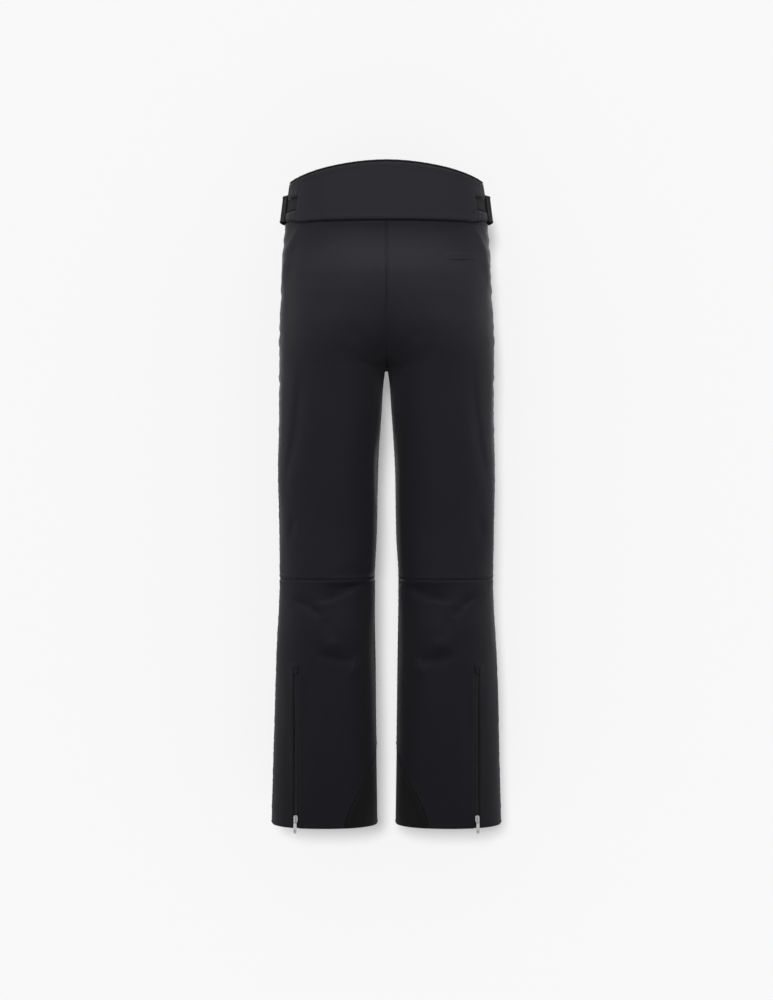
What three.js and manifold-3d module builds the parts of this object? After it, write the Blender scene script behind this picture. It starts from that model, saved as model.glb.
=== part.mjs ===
// Ski pants, upright as when worn. Millimetres, +Z up, origin at the centre of the waist, level
// with the waist seam at the sides. Heights in this file are above the hem, and the whole group
// is lowered at the end. The front faces -Y and the back +Y, so the wearer's left is +X.
import * as THREE from 'three';
import Module from 'manifold-3d';
import { mergeVertices } from 'three/addons/utils/BufferGeometryUtils.js';

const wasm = await Module();
wasm.setup();

// Driving heights above the hem.
const KNEE_SEAM_BACK = 420;
const KNEE_TOP_FRONT = 560;
const KNEE_BOTTOM_FRONT = 395;
const CROTCH = 783;
const WAIST_SEAM_BACK = 1024;
const WAIST_SEAM_SIDE = 1031;
const WAIST_SEAM_FRONT = 1027;
const BACK_TOP = 1126;
const SIDE_TOP = 1088;
const FRONT_TOP = 1062;
const BACK_ARCH = 28;
const BACK_ARCH_HALF = 168;

// Waist plan: side arcs about two vertical axes, joined front and back by two wide arcs.
const SIDE_AXIS_X = 80;
const SIDE_RADIUS = 92;
const WIDE_RADIUS = 417;
const WIDE_CENTRE = 315;
const ARC_CHANGE = THREE.MathUtils.radToDeg(Math.atan2(WIDE_CENTRE, SIDE_AXIS_X));
const SIDE_SHARE = 0.54;
const WAIST_TAPER = 0.12;

// Cloth layers.
const SHELL = 2.2;
const BAND = 2.5;
const GAP = 0.35;
const SECTION_POWER = 2.2;

// Cross-sections of one leg from the hem to the waist: z, inner x, outer x, front y, back y.
// Above the crotch the inner x is where the section would end if the body did not cut it.
const STATIONS = [
  [0, 15.5, 197, -72, 75],
  [290, 19.5, 188.5, -82, 86],
  [420, 20.6, 182.8, -91, 80],
  [500, 17, 184, -93, 77],
  [600, 15.3, 186, -98, 86],
  [700, 9, 184, -106, 98],
  [783, 0.6, 184, -113, 111],
  [800, -16, 184, -117, 117],
  [830, -60, 184, -121, 128],
  [860, -108, 183, -123, 135],
  [900, -157, 180.6, -121, 137],
  [930, -179, 178.8, -117.5, 134],
  [961, -177, 177, -113, 127],
  [1000, -174.4, 174.4, -107, 112],
  [1040, -172, 172, -101, 101]
];
const OVAL_START = 925;
const OVAL_FULL = 1018;

// Cuff zip, kick panel, pockets, fly.
const CUFF_ZIP_X = 153;
const CUFF_ZIP_TOP = 271;
const SLOT_HALF = 4.6;
const KICK_TOP = 137;
const KICK_HEM_ANGLE = 111;
const KICK_TIP_SHARE = 0.966;
const KICK_CURVE = 1.7;
const POCKET = { topZ: 985, topX: 131, lowZ: 862, lowX: 156, slotHalf: 5.6 };
const FLY_LOW = 905;

// Side adjuster, in degrees round the side arc: 0 is straight out, positive is towards the back.
const YOKE_END = 15;
const YOKE_SLOT_BACK = 40;
const STRAP_BACK = 70;
const STRAP_FRONT = -5;
const STRAP_Z = [1047, 1067];
const SLOT_Z = [1045, 1069];
const TAB_Z = [1031, 1077];
const TAB_BACK = 11;
const TAB_LIFT = 2.3;
const TAB_ARCH = 6.4;
const TAB_THICKNESS = 3.2;
const PATCH_ANGLES = [-23, -72];

const COLOURS = {
  shell: 0x2c2b30,
  kick: 0x1b1b1b,
  webbing: 0x121214,
  tape: 0x17171a,
  metal: 0xc4c6c8,
  lining: 0x202024,
  elastic: 0x19191b
};

const group = new THREE.Group();
group.position.z = -WAIST_SEAM_SIDE;

function material(colour, roughness = 0.85, metalness = 0) {
  return new THREE.MeshStandardMaterial({ color: colour, roughness, metalness });
}

function addMesh(parent, name, geometry, colour, roughness, metalness) {
  const mesh = new THREE.Mesh(geometry, material(colour, roughness, metalness));
  mesh.name = name;
  parent.add(mesh);
  return mesh;
}

function smooth(low, high, value) {
  const t = THREE.MathUtils.clamp((value - low) / (high - low), 0, 1);
  return t * t * (3 - 2 * t);
}

function spread(low, high, count) {
  return Array.from({ length: count + 1 }, (_, i) => low + ((high - low) * i) / count);
}

// Station values at height z, on straight lines between the listed stations.
function station(z) {
  const last = STATIONS.length - 2;
  let i = 0;
  while (i < last && z > STATIONS[i + 1][0]) i += 1;
  const a = STATIONS[i];
  const b = STATIONS[i + 1];
  const t = (z - a[0]) / (b[0] - a[0]);
  return a.map((value, k) => value + (b[k] - value) * t);
}

function sectionAt(z) {
  const [, inner, outer, front, back] = station(z);
  return { cx: (inner + outer) / 2, a: (outer - inner) / 2, front: -front, back };
}

function signedPower(value, power) {
  return Math.sign(value) * Math.abs(value) ** power;
}

// Share of the way round from the side (0) to the centre or inseam (1), as a normal's angle.
function arcAngle(share) {
  if (share < SIDE_SHARE) return (share / SIDE_SHARE) * ARC_CHANGE;
  return ARC_CHANGE + ((share - SIDE_SHARE) / (1 - SIDE_SHARE)) * (90 - ARC_CHANGE);
}

function arcShare(angle) {
  if (angle < ARC_CHANGE) return (angle / ARC_CHANGE) * SIDE_SHARE;
  return SIDE_SHARE + ((angle - ARC_CHANGE) / (90 - ARC_CHANGE)) * (1 - SIDE_SHARE);
}

// Point on the waist's plan; angle 0 is the side, 90 the centre back, -90 the centre front.
function waistPoint(side, angle, z, offset) {
  const nu = THREE.MathUtils.degToRad(angle);
  const shrink = WAIST_TAPER * (z - WAIST_SEAM_SIDE);
  if (Math.abs(angle) <= ARC_CHANGE) {
    const r = SIDE_RADIUS - shrink + offset;
    return [side * (SIDE_AXIS_X + r * Math.cos(nu)), r * Math.sin(nu), z];
  }
  const r = WIDE_RADIUS - shrink + offset;
  return [side * r * Math.cos(nu), r * Math.sin(nu) - Math.sign(angle) * WIDE_CENTRE, z];
}

// Largest angle round a section before the centre plane cuts it, in radians.
function lastAngle(section, offset) {
  const a = section.a + offset;
  const reach = (GAP / 2 - section.cx) / a;
  if (reach <= -1) return Math.PI;
  return Math.acos(signedPower(reach, SECTION_POWER / 2));
}

function legPoint(side, phi, z, offset, backwards) {
  const s = sectionAt(z);
  const a = s.a + offset;
  const depth = (backwards ? s.back : s.front) + offset;
  const x = s.cx + a * signedPower(Math.cos(phi), 2 / SECTION_POWER);
  const y = depth * signedPower(Math.sin(phi), 2 / SECTION_POWER);
  return [side * x, backwards ? y : -y, z];
}

// Point on the shell. share runs from 0 at the side to 1 at the inseam or the centre seam.
function bodyPoint(side, share, z, offset, backwards) {
  const s = sectionAt(z);
  const leg = legPoint(side, share * lastAngle(s, offset), z, offset, backwards);
  const mix = smooth(OVAL_START, OVAL_FULL, z);
  if (mix === 0) return leg;
  const angle = Math.min(arcAngle(share), 89.97) * (backwards ? 1 : -1);
  const oval = waistPoint(side, angle, z, offset);
  return [leg[0] + (oval[0] - leg[0]) * mix, leg[1] + (oval[1] - leg[1]) * mix, z];
}

// Share at which the shell reaches a given x on the wearer's left, at height z.
function shareAtX(x, z, backwards) {
  let low = 0;
  let high = 1;
  for (let i = 0; i < 30; i += 1) {
    const middle = (low + high) / 2;
    if (bodyPoint(1, middle, z, 0, backwards)[0] > x) low = middle;
    else high = middle;
  }
  return (low + high) / 2;
}

// How far share moves for one millimetre along the section.
function sharePerMm(share, z, backwards) {
  const a = bodyPoint(1, share - 0.005, z, 0, backwards);
  const b = bodyPoint(1, share + 0.005, z, 0, backwards);
  return 0.01 / Math.hypot(a[0] - b[0], a[1] - b[1]);
}

// A closed sheet of cells between an outer and an inner face. point(i, j, layer) gives a corner;
// keep(i, j) says which cells exist; wrap joins the last column to the first.
function sheetSolid(rows, columns, point, keep = () => true, wrap = false) {
  const across = wrap ? columns : columns + 1;
  const positions = [];
  const triangles = [];
  const names = new Map();
  function corner(i, j, layer) {
    const column = wrap ? j % columns : j;
    const key = (i * across + column) * 2 + layer;
    if (!names.has(key)) {
      names.set(key, positions.length / 3);
      positions.push(...point(i, column, layer));
    }
    return names.get(key);
  }
  function quad(a, b, c, d) {
    triangles.push(a, b, c, a, c, d);
  }
  function exists(i, j) {
    if (i < 0 || i >= rows) return false;
    if (wrap) return keep(i, (j + columns) % columns);
    return j >= 0 && j < columns && keep(i, j);
  }
  for (let i = 0; i < rows; i += 1) {
    for (let j = 0; j < columns; j += 1) {
      if (!exists(i, j)) continue;
      const o = [corner(i, j, 0), corner(i, j + 1, 0), corner(i + 1, j + 1, 0), corner(i + 1, j, 0)];
      const n = [corner(i, j, 1), corner(i, j + 1, 1), corner(i + 1, j + 1, 1), corner(i + 1, j, 1)];
      quad(o[0], o[1], o[2], o[3]);
      quad(n[3], n[2], n[1], n[0]);
      if (!exists(i - 1, j)) quad(n[0], n[1], o[1], o[0]);
      if (!exists(i, j + 1)) quad(n[1], n[2], o[2], o[1]);
      if (!exists(i + 1, j)) quad(n[2], n[3], o[3], o[2]);
      if (!exists(i, j - 1)) quad(n[3], n[0], o[0], o[3]);
    }
  }
  return facingOut(positions, triangles);
}

function facingOut(positions, triangles) {
  let volume = 0;
  const p = (index) => new THREE.Vector3().fromArray(positions, index * 3);
  for (let i = 0; i < triangles.length; i += 3) {
    volume += p(triangles[i]).dot(p(triangles[i + 1]).cross(p(triangles[i + 2])));
  }
  if (volume < 0) triangles.reverse();
  const geometry = new THREE.BufferGeometry();
  geometry.setAttribute('position', new THREE.Float32BufferAttribute(positions, 3));
  geometry.setIndex(triangles);
  geometry.computeVertexNormals();
  return geometry;
}

// Joining and cutting.
function toSolid(geometry) {
  const plain = geometry.clone();
  plain.deleteAttribute('normal');
  plain.deleteAttribute('uv');
  const merged = mergeVertices(plain, 1e-4);
  return new wasm.Manifold(new wasm.Mesh({
    numProp: 3,
    vertProperties: new Float32Array(merged.attributes.position.array),
    triVerts: new Uint32Array(merged.index.array)
  }));
}

function toGeometry(solid) {
  const mesh = solid.getMesh();
  const geometry = new THREE.BufferGeometry();
  geometry.setAttribute('position', new THREE.Float32BufferAttribute(mesh.vertProperties, 3));
  geometry.setIndex(Array.from(mesh.triVerts));
  geometry.computeVertexNormals();
  return geometry;
}

function joined(...geometries) {
  return toGeometry(geometries.map(toSolid).reduce((all, next) => all.add(next)));
}

// The kick panel's edge, as a share of the way from the side to the inseam. Above the panel the
// same column of cells spreads out again.
function kickShare(z) {
  if (z > KICK_TOP) return KICK_TIP_SHARE - 0.14 * smooth(KICK_TOP, 200, z);
  const rise = (z / KICK_TOP) ** KICK_CURVE;
  return Math.min((KICK_HEM_ANGLE + (180 - KICK_HEM_ANGLE) * rise) / 180, KICK_TIP_SHARE);
}

function beforeKick(z) {
  return (0.53 + kickShare(z)) / 2;
}

// Panels of one leg. Each column is a function of height, so that seams can slant.
function panel(name, side, backwards, heights, columns, keep) {
  const geometry = sheetSolid(heights.length - 1, columns.length - 1, (i, j, layer) => {
    const nominal = columns[j];
    const share = typeof nominal === 'function' ? nominal(heightOf(heights[i], 0.5)) : nominal;
    const z = heightOf(heights[i], share);
    return bodyPoint(side, share, z, layer ? -SHELL : 0, backwards);
  }, keep);
  addMesh(group, name, geometry, COLOURS.shell);
}

function heightOf(height, share) {
  return typeof height === 'function' ? height(share) : height;
}

// Panels stop short of the side and centre lines by this share, and below the waist seam by the gap.
const EDGE_SHARE = 0.0018;
const SEAM_ANGLES = [22, 36, 50];
const SEAM_GAP = 0.8;

function waistSeamBack(share) {
  const angle = arcAngle(share);
  return WAIST_SEAM_BACK + (WAIST_SEAM_SIDE - WAIST_SEAM_BACK) * smooth(50, 22, angle);
}

function waistSeamFront(share) {
  return WAIST_SEAM_SIDE + (WAIST_SEAM_FRONT - WAIST_SEAM_SIDE) * smooth(0, 1, share);
}

function backUpperPanel(name, side) {
  const heights = [
    KNEE_SEAM_BACK + GAP, 500, 590, 680, 740, CROTCH, 790, 800, 815, 835, 860, 900, 945, 985,
    (share) => waistSeamBack(share) - SEAM_GAP
  ];
  const columns = [EDGE_SHARE, ...SEAM_ANGLES.map(arcShare), 0.47, 0.58, 0.72, 0.86, 1 - EDGE_SHARE];
  panel(name, side, true, heights, columns);
}

// The front panel has a slot for the hand pocket's zip, and its centre edge steps back for the fly.
function pocketShare(z) {
  const t = (z - POCKET.lowZ) / (POCKET.topZ - POCKET.lowZ);
  const x = POCKET.lowX + (POCKET.topX - POCKET.lowX) * THREE.MathUtils.clamp(t, -0.3, 1.3);
  return shareAtX(x, z, false);
}

function frontUpperPanel(name, side) {
  const heights = [
    KNEE_TOP_FRONT + GAP, 630, 700, CROTCH, 790, 800, 815, 835, POCKET.lowZ, FLY_LOW, 945, POCKET.topZ,
    (share) => waistSeamFront(share) - SEAM_GAP
  ];
  const slotEdge = (sign) => (z) => {
    const share = pocketShare(z);
    return share + sign * POCKET.slotHalf * sharePerMm(share, z, false);
  };
  const flyEdge = (z) => 1 - Math.max(EDGE_SHARE, SLOT_HALF * sharePerMm(0.97, z, false));
  const centre = 0.68;
  const columns = [
    EDGE_SHARE, 0.1, slotEdge(-3), slotEdge(-1), slotEdge(1), slotEdge(3),
    (z) => (slotEdge(3)(z) + centre) / 2,
    centre, 0.83, flyEdge, 1 - EDGE_SHARE
  ];
  const pocketRow = heights.indexOf(POCKET.lowZ);
  const pocketEnd = heights.indexOf(POCKET.topZ);
  const flyRow = heights.indexOf(FLY_LOW);
  panel(name, side, false, heights, columns, (i, j) => {
    if (j === 3) return i < pocketRow || i >= pocketEnd;
    if (j === 9) return i < flyRow;
    return true;
  });
}

function kneePanel(name, side) {
  const heights = [KNEE_BOTTOM_FRONT + GAP, 425, 460, 500, 530, KNEE_TOP_FRONT - GAP];
  panel(name, side, false, heights, [EDGE_SHARE, 0.16, 0.33, 0.5, 0.67, 0.84, 1 - EDGE_SHARE]);
}

const LOW_HEIGHTS = [0, 45, 85, 115, 132];

function shinPanel(name, side) {
  const heights = [...LOW_HEIGHTS, 137, 200, 290, 345, KNEE_BOTTOM_FRONT - GAP];
  const columns = [
    EDGE_SHARE, 0.13, 0.26, 0.4, 0.53, beforeKick, (z) => kickShare(z) - EDGE_SHARE, 1 - EDGE_SHARE
  ];
  panel(name, side, false, heights, columns, (i, j) => j < 6 || i >= LOW_HEIGHTS.length - 1);
}

// The calf panel has the cuff zip's slot, and leaves the kick panel's corner free.
function cuffShare(z) {
  return shareAtX(CUFF_ZIP_X, z, true);
}

function calfPanel(name, side) {
  const heights = [...LOW_HEIGHTS, 137, 200, CUFF_ZIP_TOP, 290, 350, KNEE_SEAM_BACK - GAP];
  const slotEdge = (sign) => (z) => {
    const share = cuffShare(Math.min(z, 290));
    return share + sign * SLOT_HALF * sharePerMm(share, z, true);
  };
  const columns = [
    EDGE_SHARE, 0.11, slotEdge(-3), slotEdge(-1), slotEdge(1), slotEdge(3), 0.56, beforeKick,
    (z) => kickShare(z) - EDGE_SHARE, 1 - EDGE_SHARE
  ];
  const slotTop = heights.indexOf(CUFF_ZIP_TOP);
  panel(name, side, true, heights, columns, (i, j) => {
    if (j === 3) return i >= slotTop;
    if (j === 8) return i >= LOW_HEIGHTS.length - 1;
    return true;
  });
}

// The kick panel wraps round the inseam at the hem.
function kickPanel(name, side) {
  const heights = [...LOW_HEIGHTS.slice(0, -1), 132 - GAP];
  const steps = spread(-1, 1, 8);
  const geometry = sheetSolid(heights.length - 1, steps.length - 1, (i, j, layer) => {
    const edge = kickShare(heights[i]) + EDGE_SHARE;
    const share = 1 - Math.abs(steps[j]) * (1 - edge);
    return bodyPoint(side, share, heights[i], layer ? -SHELL : 0, steps[j] < 0);
  });
  addMesh(group, name, geometry, COLOURS.kick, 0.95);
}

// A band round the waist between two angles on one side, or across the back or front.
// places lists [side, angle]; low, high, inside and outside may depend on the place.
function waistBand(parent, name, places, rows, low, high, inside, outside, colour, keep) {
  const geometry = sheetSolid(rows, places.length - 1, (i, j, layer) => {
    const [side, angle] = places[j];
    const bottom = low(side, angle);
    const z = bottom + ((high(side, angle) - bottom) * i) / rows;
    const offset = layer ? inside(side, angle) : outside(side, angle);
    return waistPoint(side, angle, z, offset);
  }, keep);
  addMesh(parent, name, geometry, colour);
}

// Angles from one side round the centre back to the other.
function acrossBack(angles) {
  const left = angles.map((angle) => [1, angle]);
  const right = angles.slice(0, -1).reverse().map((angle) => [-1, angle]);
  return [...left, ...right];
}

function xOf(angle) {
  return waistPoint(1, angle, WAIST_SEAM_SIDE, 0)[0];
}

function backTop(angle) {
  return BACK_TOP - BACK_ARCH * Math.min(xOf(angle) / BACK_ARCH_HALF, 1.02) ** 1.9;
}

function frontTop(angle) {
  const fall = SIDE_TOP - (SIDE_TOP - FRONT_TOP) * smooth(0, 75, -angle);
  return angle > 0 ? fall + (backTop(angle) - fall) * smooth(2, 22, angle) : fall;
}

const BIND = 3;
const YOKE_IN = 2.6;
const YOKE_OUT = 4.8;
const even = (value) => () => value;

function backWaistband() {
  const angles = [YOKE_END, 22, 31, YOKE_SLOT_BACK, 50, 63, ARC_CHANGE, 79, 82.7, 86.3, 90];
  const places = acrossBack(angles);
  const rows = 6;
  const bottom = (side, angle) => waistSeamBack(arcShare(angle)) + GAP;
  const top = (side, angle) => backTop(angle) - BIND - GAP;
  const rowHeights = (angle) => {
    const low = bottom(1, angle);
    const high = top(1, angle);
    return [low, (low + SLOT_Z[0]) / 2, ...SLOT_Z, (SLOT_Z[1] + high) / 2, high];
  };
  const geometry = sheetSolid(rows - 1, places.length - 1, (i, j, layer) => {
    const [side, angle] = places[j];
    return waistPoint(side, angle, rowHeights(angle)[i], layer ? YOKE_IN : YOKE_OUT);
  }, (i, j) => i !== 2 || (j >= 3 && j < places.length - 4));
  addMesh(group, 'back_waistband', geometry, COLOURS.shell);
  waistBand(group, 'back_waistband_binding', places, 1, (s, a) => backTop(a) - BIND, (s, a) => backTop(a),
    even(-BAND), even(YOKE_OUT), COLOURS.webbing);
}

function innerBands() {
  const facing = acrossBack([STRAP_BACK + 0.5, ARC_CHANGE, 79, 82.7, 86.3, 90]);
  waistBand(group, 'back_waistband_facing', facing, 3, even(WAIST_SEAM_BACK + GAP),
    (s, a) => backTop(a) - BIND - GAP, even(-BAND), even(0), COLOURS.lining);
  const elastic = acrossBack([STRAP_BACK + 1, ARC_CHANGE, 79, 82.7, 86.3, 90]);
  waistBand(group, 'back_elastic', elastic, 1, even(STRAP_Z[0]), even(STRAP_Z[1]), even(0.6), even(1.8),
    COLOURS.elastic);
}

function frontWaistband(label, side) {
  const angles = [70, 60, 50, 43, 36, 29, 22, 15, 7.5, 0, -8, -16, -24, -32, -42, -53, -64, -ARC_CHANGE,
    -80, -84, -87, -89.95];
  const places = angles.map((angle) => [side, angle]);
  const low = (s, angle) => (angle > 0 ? waistSeamBack(arcShare(angle)) : waistSeamFront(arcShare(-angle)));
  waistBand(group, `front_waistband_${label}`, places, 2, (s, a) => low(s, a) + GAP,
    (s, a) => frontTop(a) - BIND - GAP, even(-BAND), even(0), COLOURS.shell);
  const bound = places.filter(([, angle]) => angle < YOKE_END - 1);
  waistBand(group, `front_waistband_binding_${label}`, bound, 1, (s, a) => frontTop(a) - BIND,
    (s, a) => frontTop(a), even(-BAND), even(0.4), COLOURS.webbing);
}

// The strap slides round the side arc, and the tab arches off it and fastens on the patch.
function adjuster(label, side) {
  const strap = spread(STRAP_BACK, STRAP_FRONT, 12).map((angle) => [side, angle]);
  waistBand(group, `adjuster_strap_${label}`, strap, 1, even(STRAP_Z[0]), even(STRAP_Z[1]), even(0.6),
    even(1.8), COLOURS.webbing);
  const arch = (angle) => TAB_ARCH * smooth(TAB_BACK, 0, angle) * smooth(-29, -14, angle);
  const tab = [TAB_BACK, 7, 3, -1, -6, -11, -16, -21, -26, -31, -38, -45].map((angle) => [side, angle]);
  const lift = (s, angle) => TAB_LIFT + arch(angle);
  const lower = (s, angle) => TAB_Z[0] + 4 * smooth(-36, -46, angle);
  const upper = (s, angle) => TAB_Z[1] - 4 * smooth(-36, -46, angle);
  waistBand(group, `adjuster_tab_${label}`, tab, 2, lower, upper, lift,
    (s, a) => lift(s, a) + TAB_THICKNESS,
    COLOURS.webbing);
  const patch = spread(PATCH_ANGLES[0], PATCH_ANGLES[1], 7).map((angle) => [side, angle]);
  waistBand(group, `adjuster_patch_${label}`, patch, 1, even(1037),
    (s, a) => Math.min(1070, frontTop(a) - 6), even(0.3), even(1.5), COLOURS.webbing);
}

// A frame on the shell: local Y runs up along a zip, and local Z points out of the cloth.
function frameOn(low, high, outward) {
  const holder = new THREE.Group();
  const along = new THREE.Vector3().subVectors(high, low).normalize();
  const across = new THREE.Vector3().crossVectors(along, outward).normalize();
  const normal = new THREE.Vector3().crossVectors(across, along).normalize();
  holder.quaternion.setFromRotationMatrix(new THREE.Matrix4().makeBasis(across, along, normal));
  holder.position.copy(low);
  group.add(holder);
  return holder;
}

function outlineShape(points) {
  return new THREE.Shape(points.map(([x, y]) => new THREE.Vector2(x, y)));
}

// An outline drawn across the zip, as x and height, run along local Y.
function alongY(points, length) {
  const shape = outlineShape(points.map(([x, h]) => [x, -h]));
  const geometry = new THREE.ExtrudeGeometry(shape, { depth: length, bevelEnabled: false });
  return geometry.rotateX(-Math.PI / 2);
}

// An outline drawn flat on the cloth, as x and y, run along local Z.
function plate(shape, low, thickness) {
  const options = { depth: thickness, bevelEnabled: false, curveSegments: 4 };
  const geometry = new THREE.ExtrudeGeometry(shape, options);
  return geometry.translate(0, 0, low);
}

// An outline seen from the side, as y and height, run along local X.
function alongX(points, width) {
  const shape = outlineShape(points);
  const geometry = new THREE.ExtrudeGeometry(shape, { depth: width, bevelEnabled: false });
  geometry.translate(0, 0, -width / 2);
  return geometry.applyMatrix4(new THREE.Matrix4().set(0, 0, 1, 0, 1, 0, 0, 0, 0, 1, 0, 0, 0, 0, 0, 1));
}

// Coil and tape in one: the coil fills the slot and the tape lies behind the shell.
const COIL_HALF = 3.8;
const TAPE_HALF = 10;

function zipTape(length, coilTop, tapeTop) {
  const tapeLow = tapeTop - 0.8;
  return alongY([
    [-TAPE_HALF, tapeLow], [TAPE_HALF, tapeLow], [TAPE_HALF, tapeTop], [COIL_HALF, tapeTop],
    [COIL_HALF, coilTop], [-COIL_HALF, coilTop], [-COIL_HALF, tapeTop], [-TAPE_HALF, tapeTop]
  ], length);
}

// Slider: a shield-shaped plate with a bridge that the puller's bar turns under.
const SLIDER_HALF = 6.5;
const SLIDER_LIFT = -0.2;
const SLIDER_PLATE = 2;
const BRIDGE_HEIGHT = 3.6;
const BRIDGE_HALF = 4;
const BAR_LIFT = 2.9;

function sliderBody() {
  const shield = outlineShape([
    [-4, SLIDER_HALF], [-4, 0], [-2.6, -SLIDER_HALF], [2.6, -SLIDER_HALF], [4, 0], [4, SLIDER_HALF]
  ]);
  const base = plate(shield, SLIDER_LIFT, SLIDER_PLATE);
  const foot = SLIDER_LIFT + SLIDER_PLATE;
  const top = foot + BRIDGE_HEIGHT;
  const bridge = alongX([
    [-BRIDGE_HALF, foot - 0.4], [-BRIDGE_HALF, top - 0.8], [-BRIDGE_HALF + 0.8, top],
    [BRIDGE_HALF - 0.8, top],
    [BRIDGE_HALF, top - 0.8], [BRIDGE_HALF, foot - 0.4], [2.6, foot - 0.4], [2.6, foot + 2.2],
    [-2.6, foot + 2.2], [-2.6, foot - 0.4]
  ], 2.2);
  return joined(base, bridge);
}

// Puller, hanging down from its bar at the local origin.
function pullerBody(length) {
  const shape = outlineShape([
    [-2.75, 0.6], [2.75, 0.6], [2.75, -6.5], [3.1, -8], [3.1, -length + 1], [2.4, -length],
    [-2.4, -length], [-3.1, -length + 1], [-3.1, -8], [-2.75, -6.5]
  ]);
  const bridgeWindow = outlineShape([[-1.7, -0.6], [-1.7, -5.4], [1.7, -5.4], [1.7, -0.6]]);
  shape.holes.push(bridgeWindow);
  return plate(shape, -0.6, 1.2);
}

function addSlider(frame, label, at, pullerLength) {
  const slider = new THREE.Group();
  slider.position.set(0, at, 0);
  frame.add(slider);
  addMesh(slider, `${label}_slider`, sliderBody(), COLOURS.metal, 0.35, 0.9);
  const puller = addMesh(slider, `${label}_puller`, pullerBody(pullerLength), COLOURS.metal, 0.35, 0.9);
  puller.position.set(0, 0, BAR_LIFT);
}

// Cuff zips at the back of the outer ankle, opening upwards.
const CUFF_SLIDER_AT = 15;

function onShell(side, x, z, backwards, offset = 0) {
  const share = shareAtX(x, z, backwards);
  return new THREE.Vector3().fromArray(bodyPoint(side, share, z, offset, backwards));
}

function outwardAt(side, x, z, backwards) {
  const along = onShell(side, x + 1, z, backwards).sub(onShell(side, x - 1, z, backwards));
  const outward = new THREE.Vector3(along.y, -along.x, 0).normalize();
  return Math.sign(outward.y) === (backwards ? 1 : -1) ? outward : outward.negate();
}

function cuff(label, side) {
  const low = onShell(side, CUFF_ZIP_X, 0.5, true);
  const high = onShell(side, CUFF_ZIP_X, CUFF_ZIP_TOP - 0.8, true);
  const frame = frameOn(low, high, outwardAt(side, CUFF_ZIP_X, 135, true));
  const length = high.distanceTo(low);
  addMesh(frame, `cuff_zip_${label}`, zipTape(length, -0.7, -4.2), COLOURS.tape);
  addSlider(frame, `cuff_${label}`, CUFF_SLIDER_AT, 24);
  const garage = outlineShape([[-7, 0], [0, -5], [7, 0], [6, 9], [3, 14], [-3, 14], [-6, 9]]);
  const cap = addMesh(frame, `cuff_zip_garage_${label}`, plate(garage, 0.7, 1), COLOURS.tape);
  cap.position.set(0, length - 4, 0);
  const middle = cuffShare(135);
  const gusset = sheetSolid(4, 4, (i, j, layer) => {
    const z = 6 + (i * (CUFF_ZIP_TOP - 14)) / 4;
    return bodyPoint(side, middle - 0.1 + j * 0.05, z, layer ? -8.6 : -7.4, true);
  });
  addMesh(group, `cuff_gusset_${label}`, gusset, COLOURS.lining);
}

// Snow gaiter: a tube inside the lower leg that closes on the boot.
const GAITER_TOP = 215;
const GAITER_LOW = 24;

function gaiter(label, side) {
  const ring = (z, offset, turn) => {
    const phi = turn * 2 * Math.PI;
    const behind = phi <= Math.PI;
    return legPoint(side, behind ? phi : 2 * Math.PI - phi, z, offset, behind);
  };
  const depth = (z) => -12 - (14 * (GAITER_TOP - z)) / (GAITER_TOP - GAITER_LOW);
  const steps = 20;
  const tube = sheetSolid(3, steps, (i, j, layer) => {
    const z = GAITER_LOW + ((GAITER_TOP - GAITER_LOW) * i) / 3;
    return ring(z, depth(z) - (layer ? 1.2 : 0), j / steps);
  }, () => true, true);
  addMesh(group, `snow_gaiter_${label}`, tube, COLOURS.lining);
  const band = sheetSolid(1, steps, (i, j, layer) => {
    const z = i ? GAITER_LOW - GAP : 8;
    return ring(z, depth(GAITER_LOW) - (layer ? 2.2 : -0.6), j / steps);
  }, () => true, true);
  addMesh(group, `gaiter_elastic_${label}`, band, COLOURS.elastic);
}

// Hand pockets: a slanted zip on each hip, and a flat bag behind it.
function handPocket(label, side) {
  const low = onShell(side, POCKET.lowX, POCKET.lowZ + 1.4, false);
  const high = onShell(side, POCKET.topX, POCKET.topZ - 0.6, false);
  const middle = low.clone().add(high).multiplyScalar(0.5);
  const frame = frameOn(low, high, outwardAt(side, Math.abs(middle.x), middle.z, false));
  const length = high.distanceTo(low);
  addMesh(frame, `hand_pocket_zip_${label}`, zipTape(length, -0.9, -6.2), COLOURS.tape);
  addSlider(frame, `hand_pocket_${label}`, length - SLIDER_HALF - 2, 20);
  const bag = sheetSolid(5, 5, (i, j, layer) => {
    const z = 800 + 36 * i;
    const share = pocketShare(z) + 0.09 * (j - 1.3);
    return bodyPoint(side, share, z, layer ? -15.5 : -12.5, false);
  });
  addMesh(group, `hand_pocket_bag_${label}`, bag, COLOURS.lining);
}

// One jetted pocket on the wearer's right seat: a welt over its mouth, and a bag inside.
const WELT = { fromX: 100, toX: 150, z: 952, height: 12 };

function backPocket() {
  const steps = 6;
  const place = (j) => WELT.toX + ((WELT.fromX - WELT.toX) * j) / steps;
  const welt = sheetSolid(1, steps, (i, j, layer) => {
    const z = WELT.z - 4 + 0.08 * place(j) + i * WELT.height;
    return bodyPoint(-1, shareAtX(place(j), z, true), z, layer ? 0.5 : 1.7, true);
  });
  addMesh(group, 'back_pocket_welt', welt, COLOURS.shell);
  const bag = sheetSolid(4, steps, (i, j, layer) => {
    const z = 830 + 35 * i;
    return bodyPoint(-1, shareAtX(place(j), z, true), z, layer ? -9.5 : -7, true);
  });
  addMesh(group, 'back_pocket_bag', bag, COLOURS.lining);
}

// Fly: a centre-front zip with a shield behind, under a closure tab with two snaps.
const FLY_SLIDER_GAP = 1.5;

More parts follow.
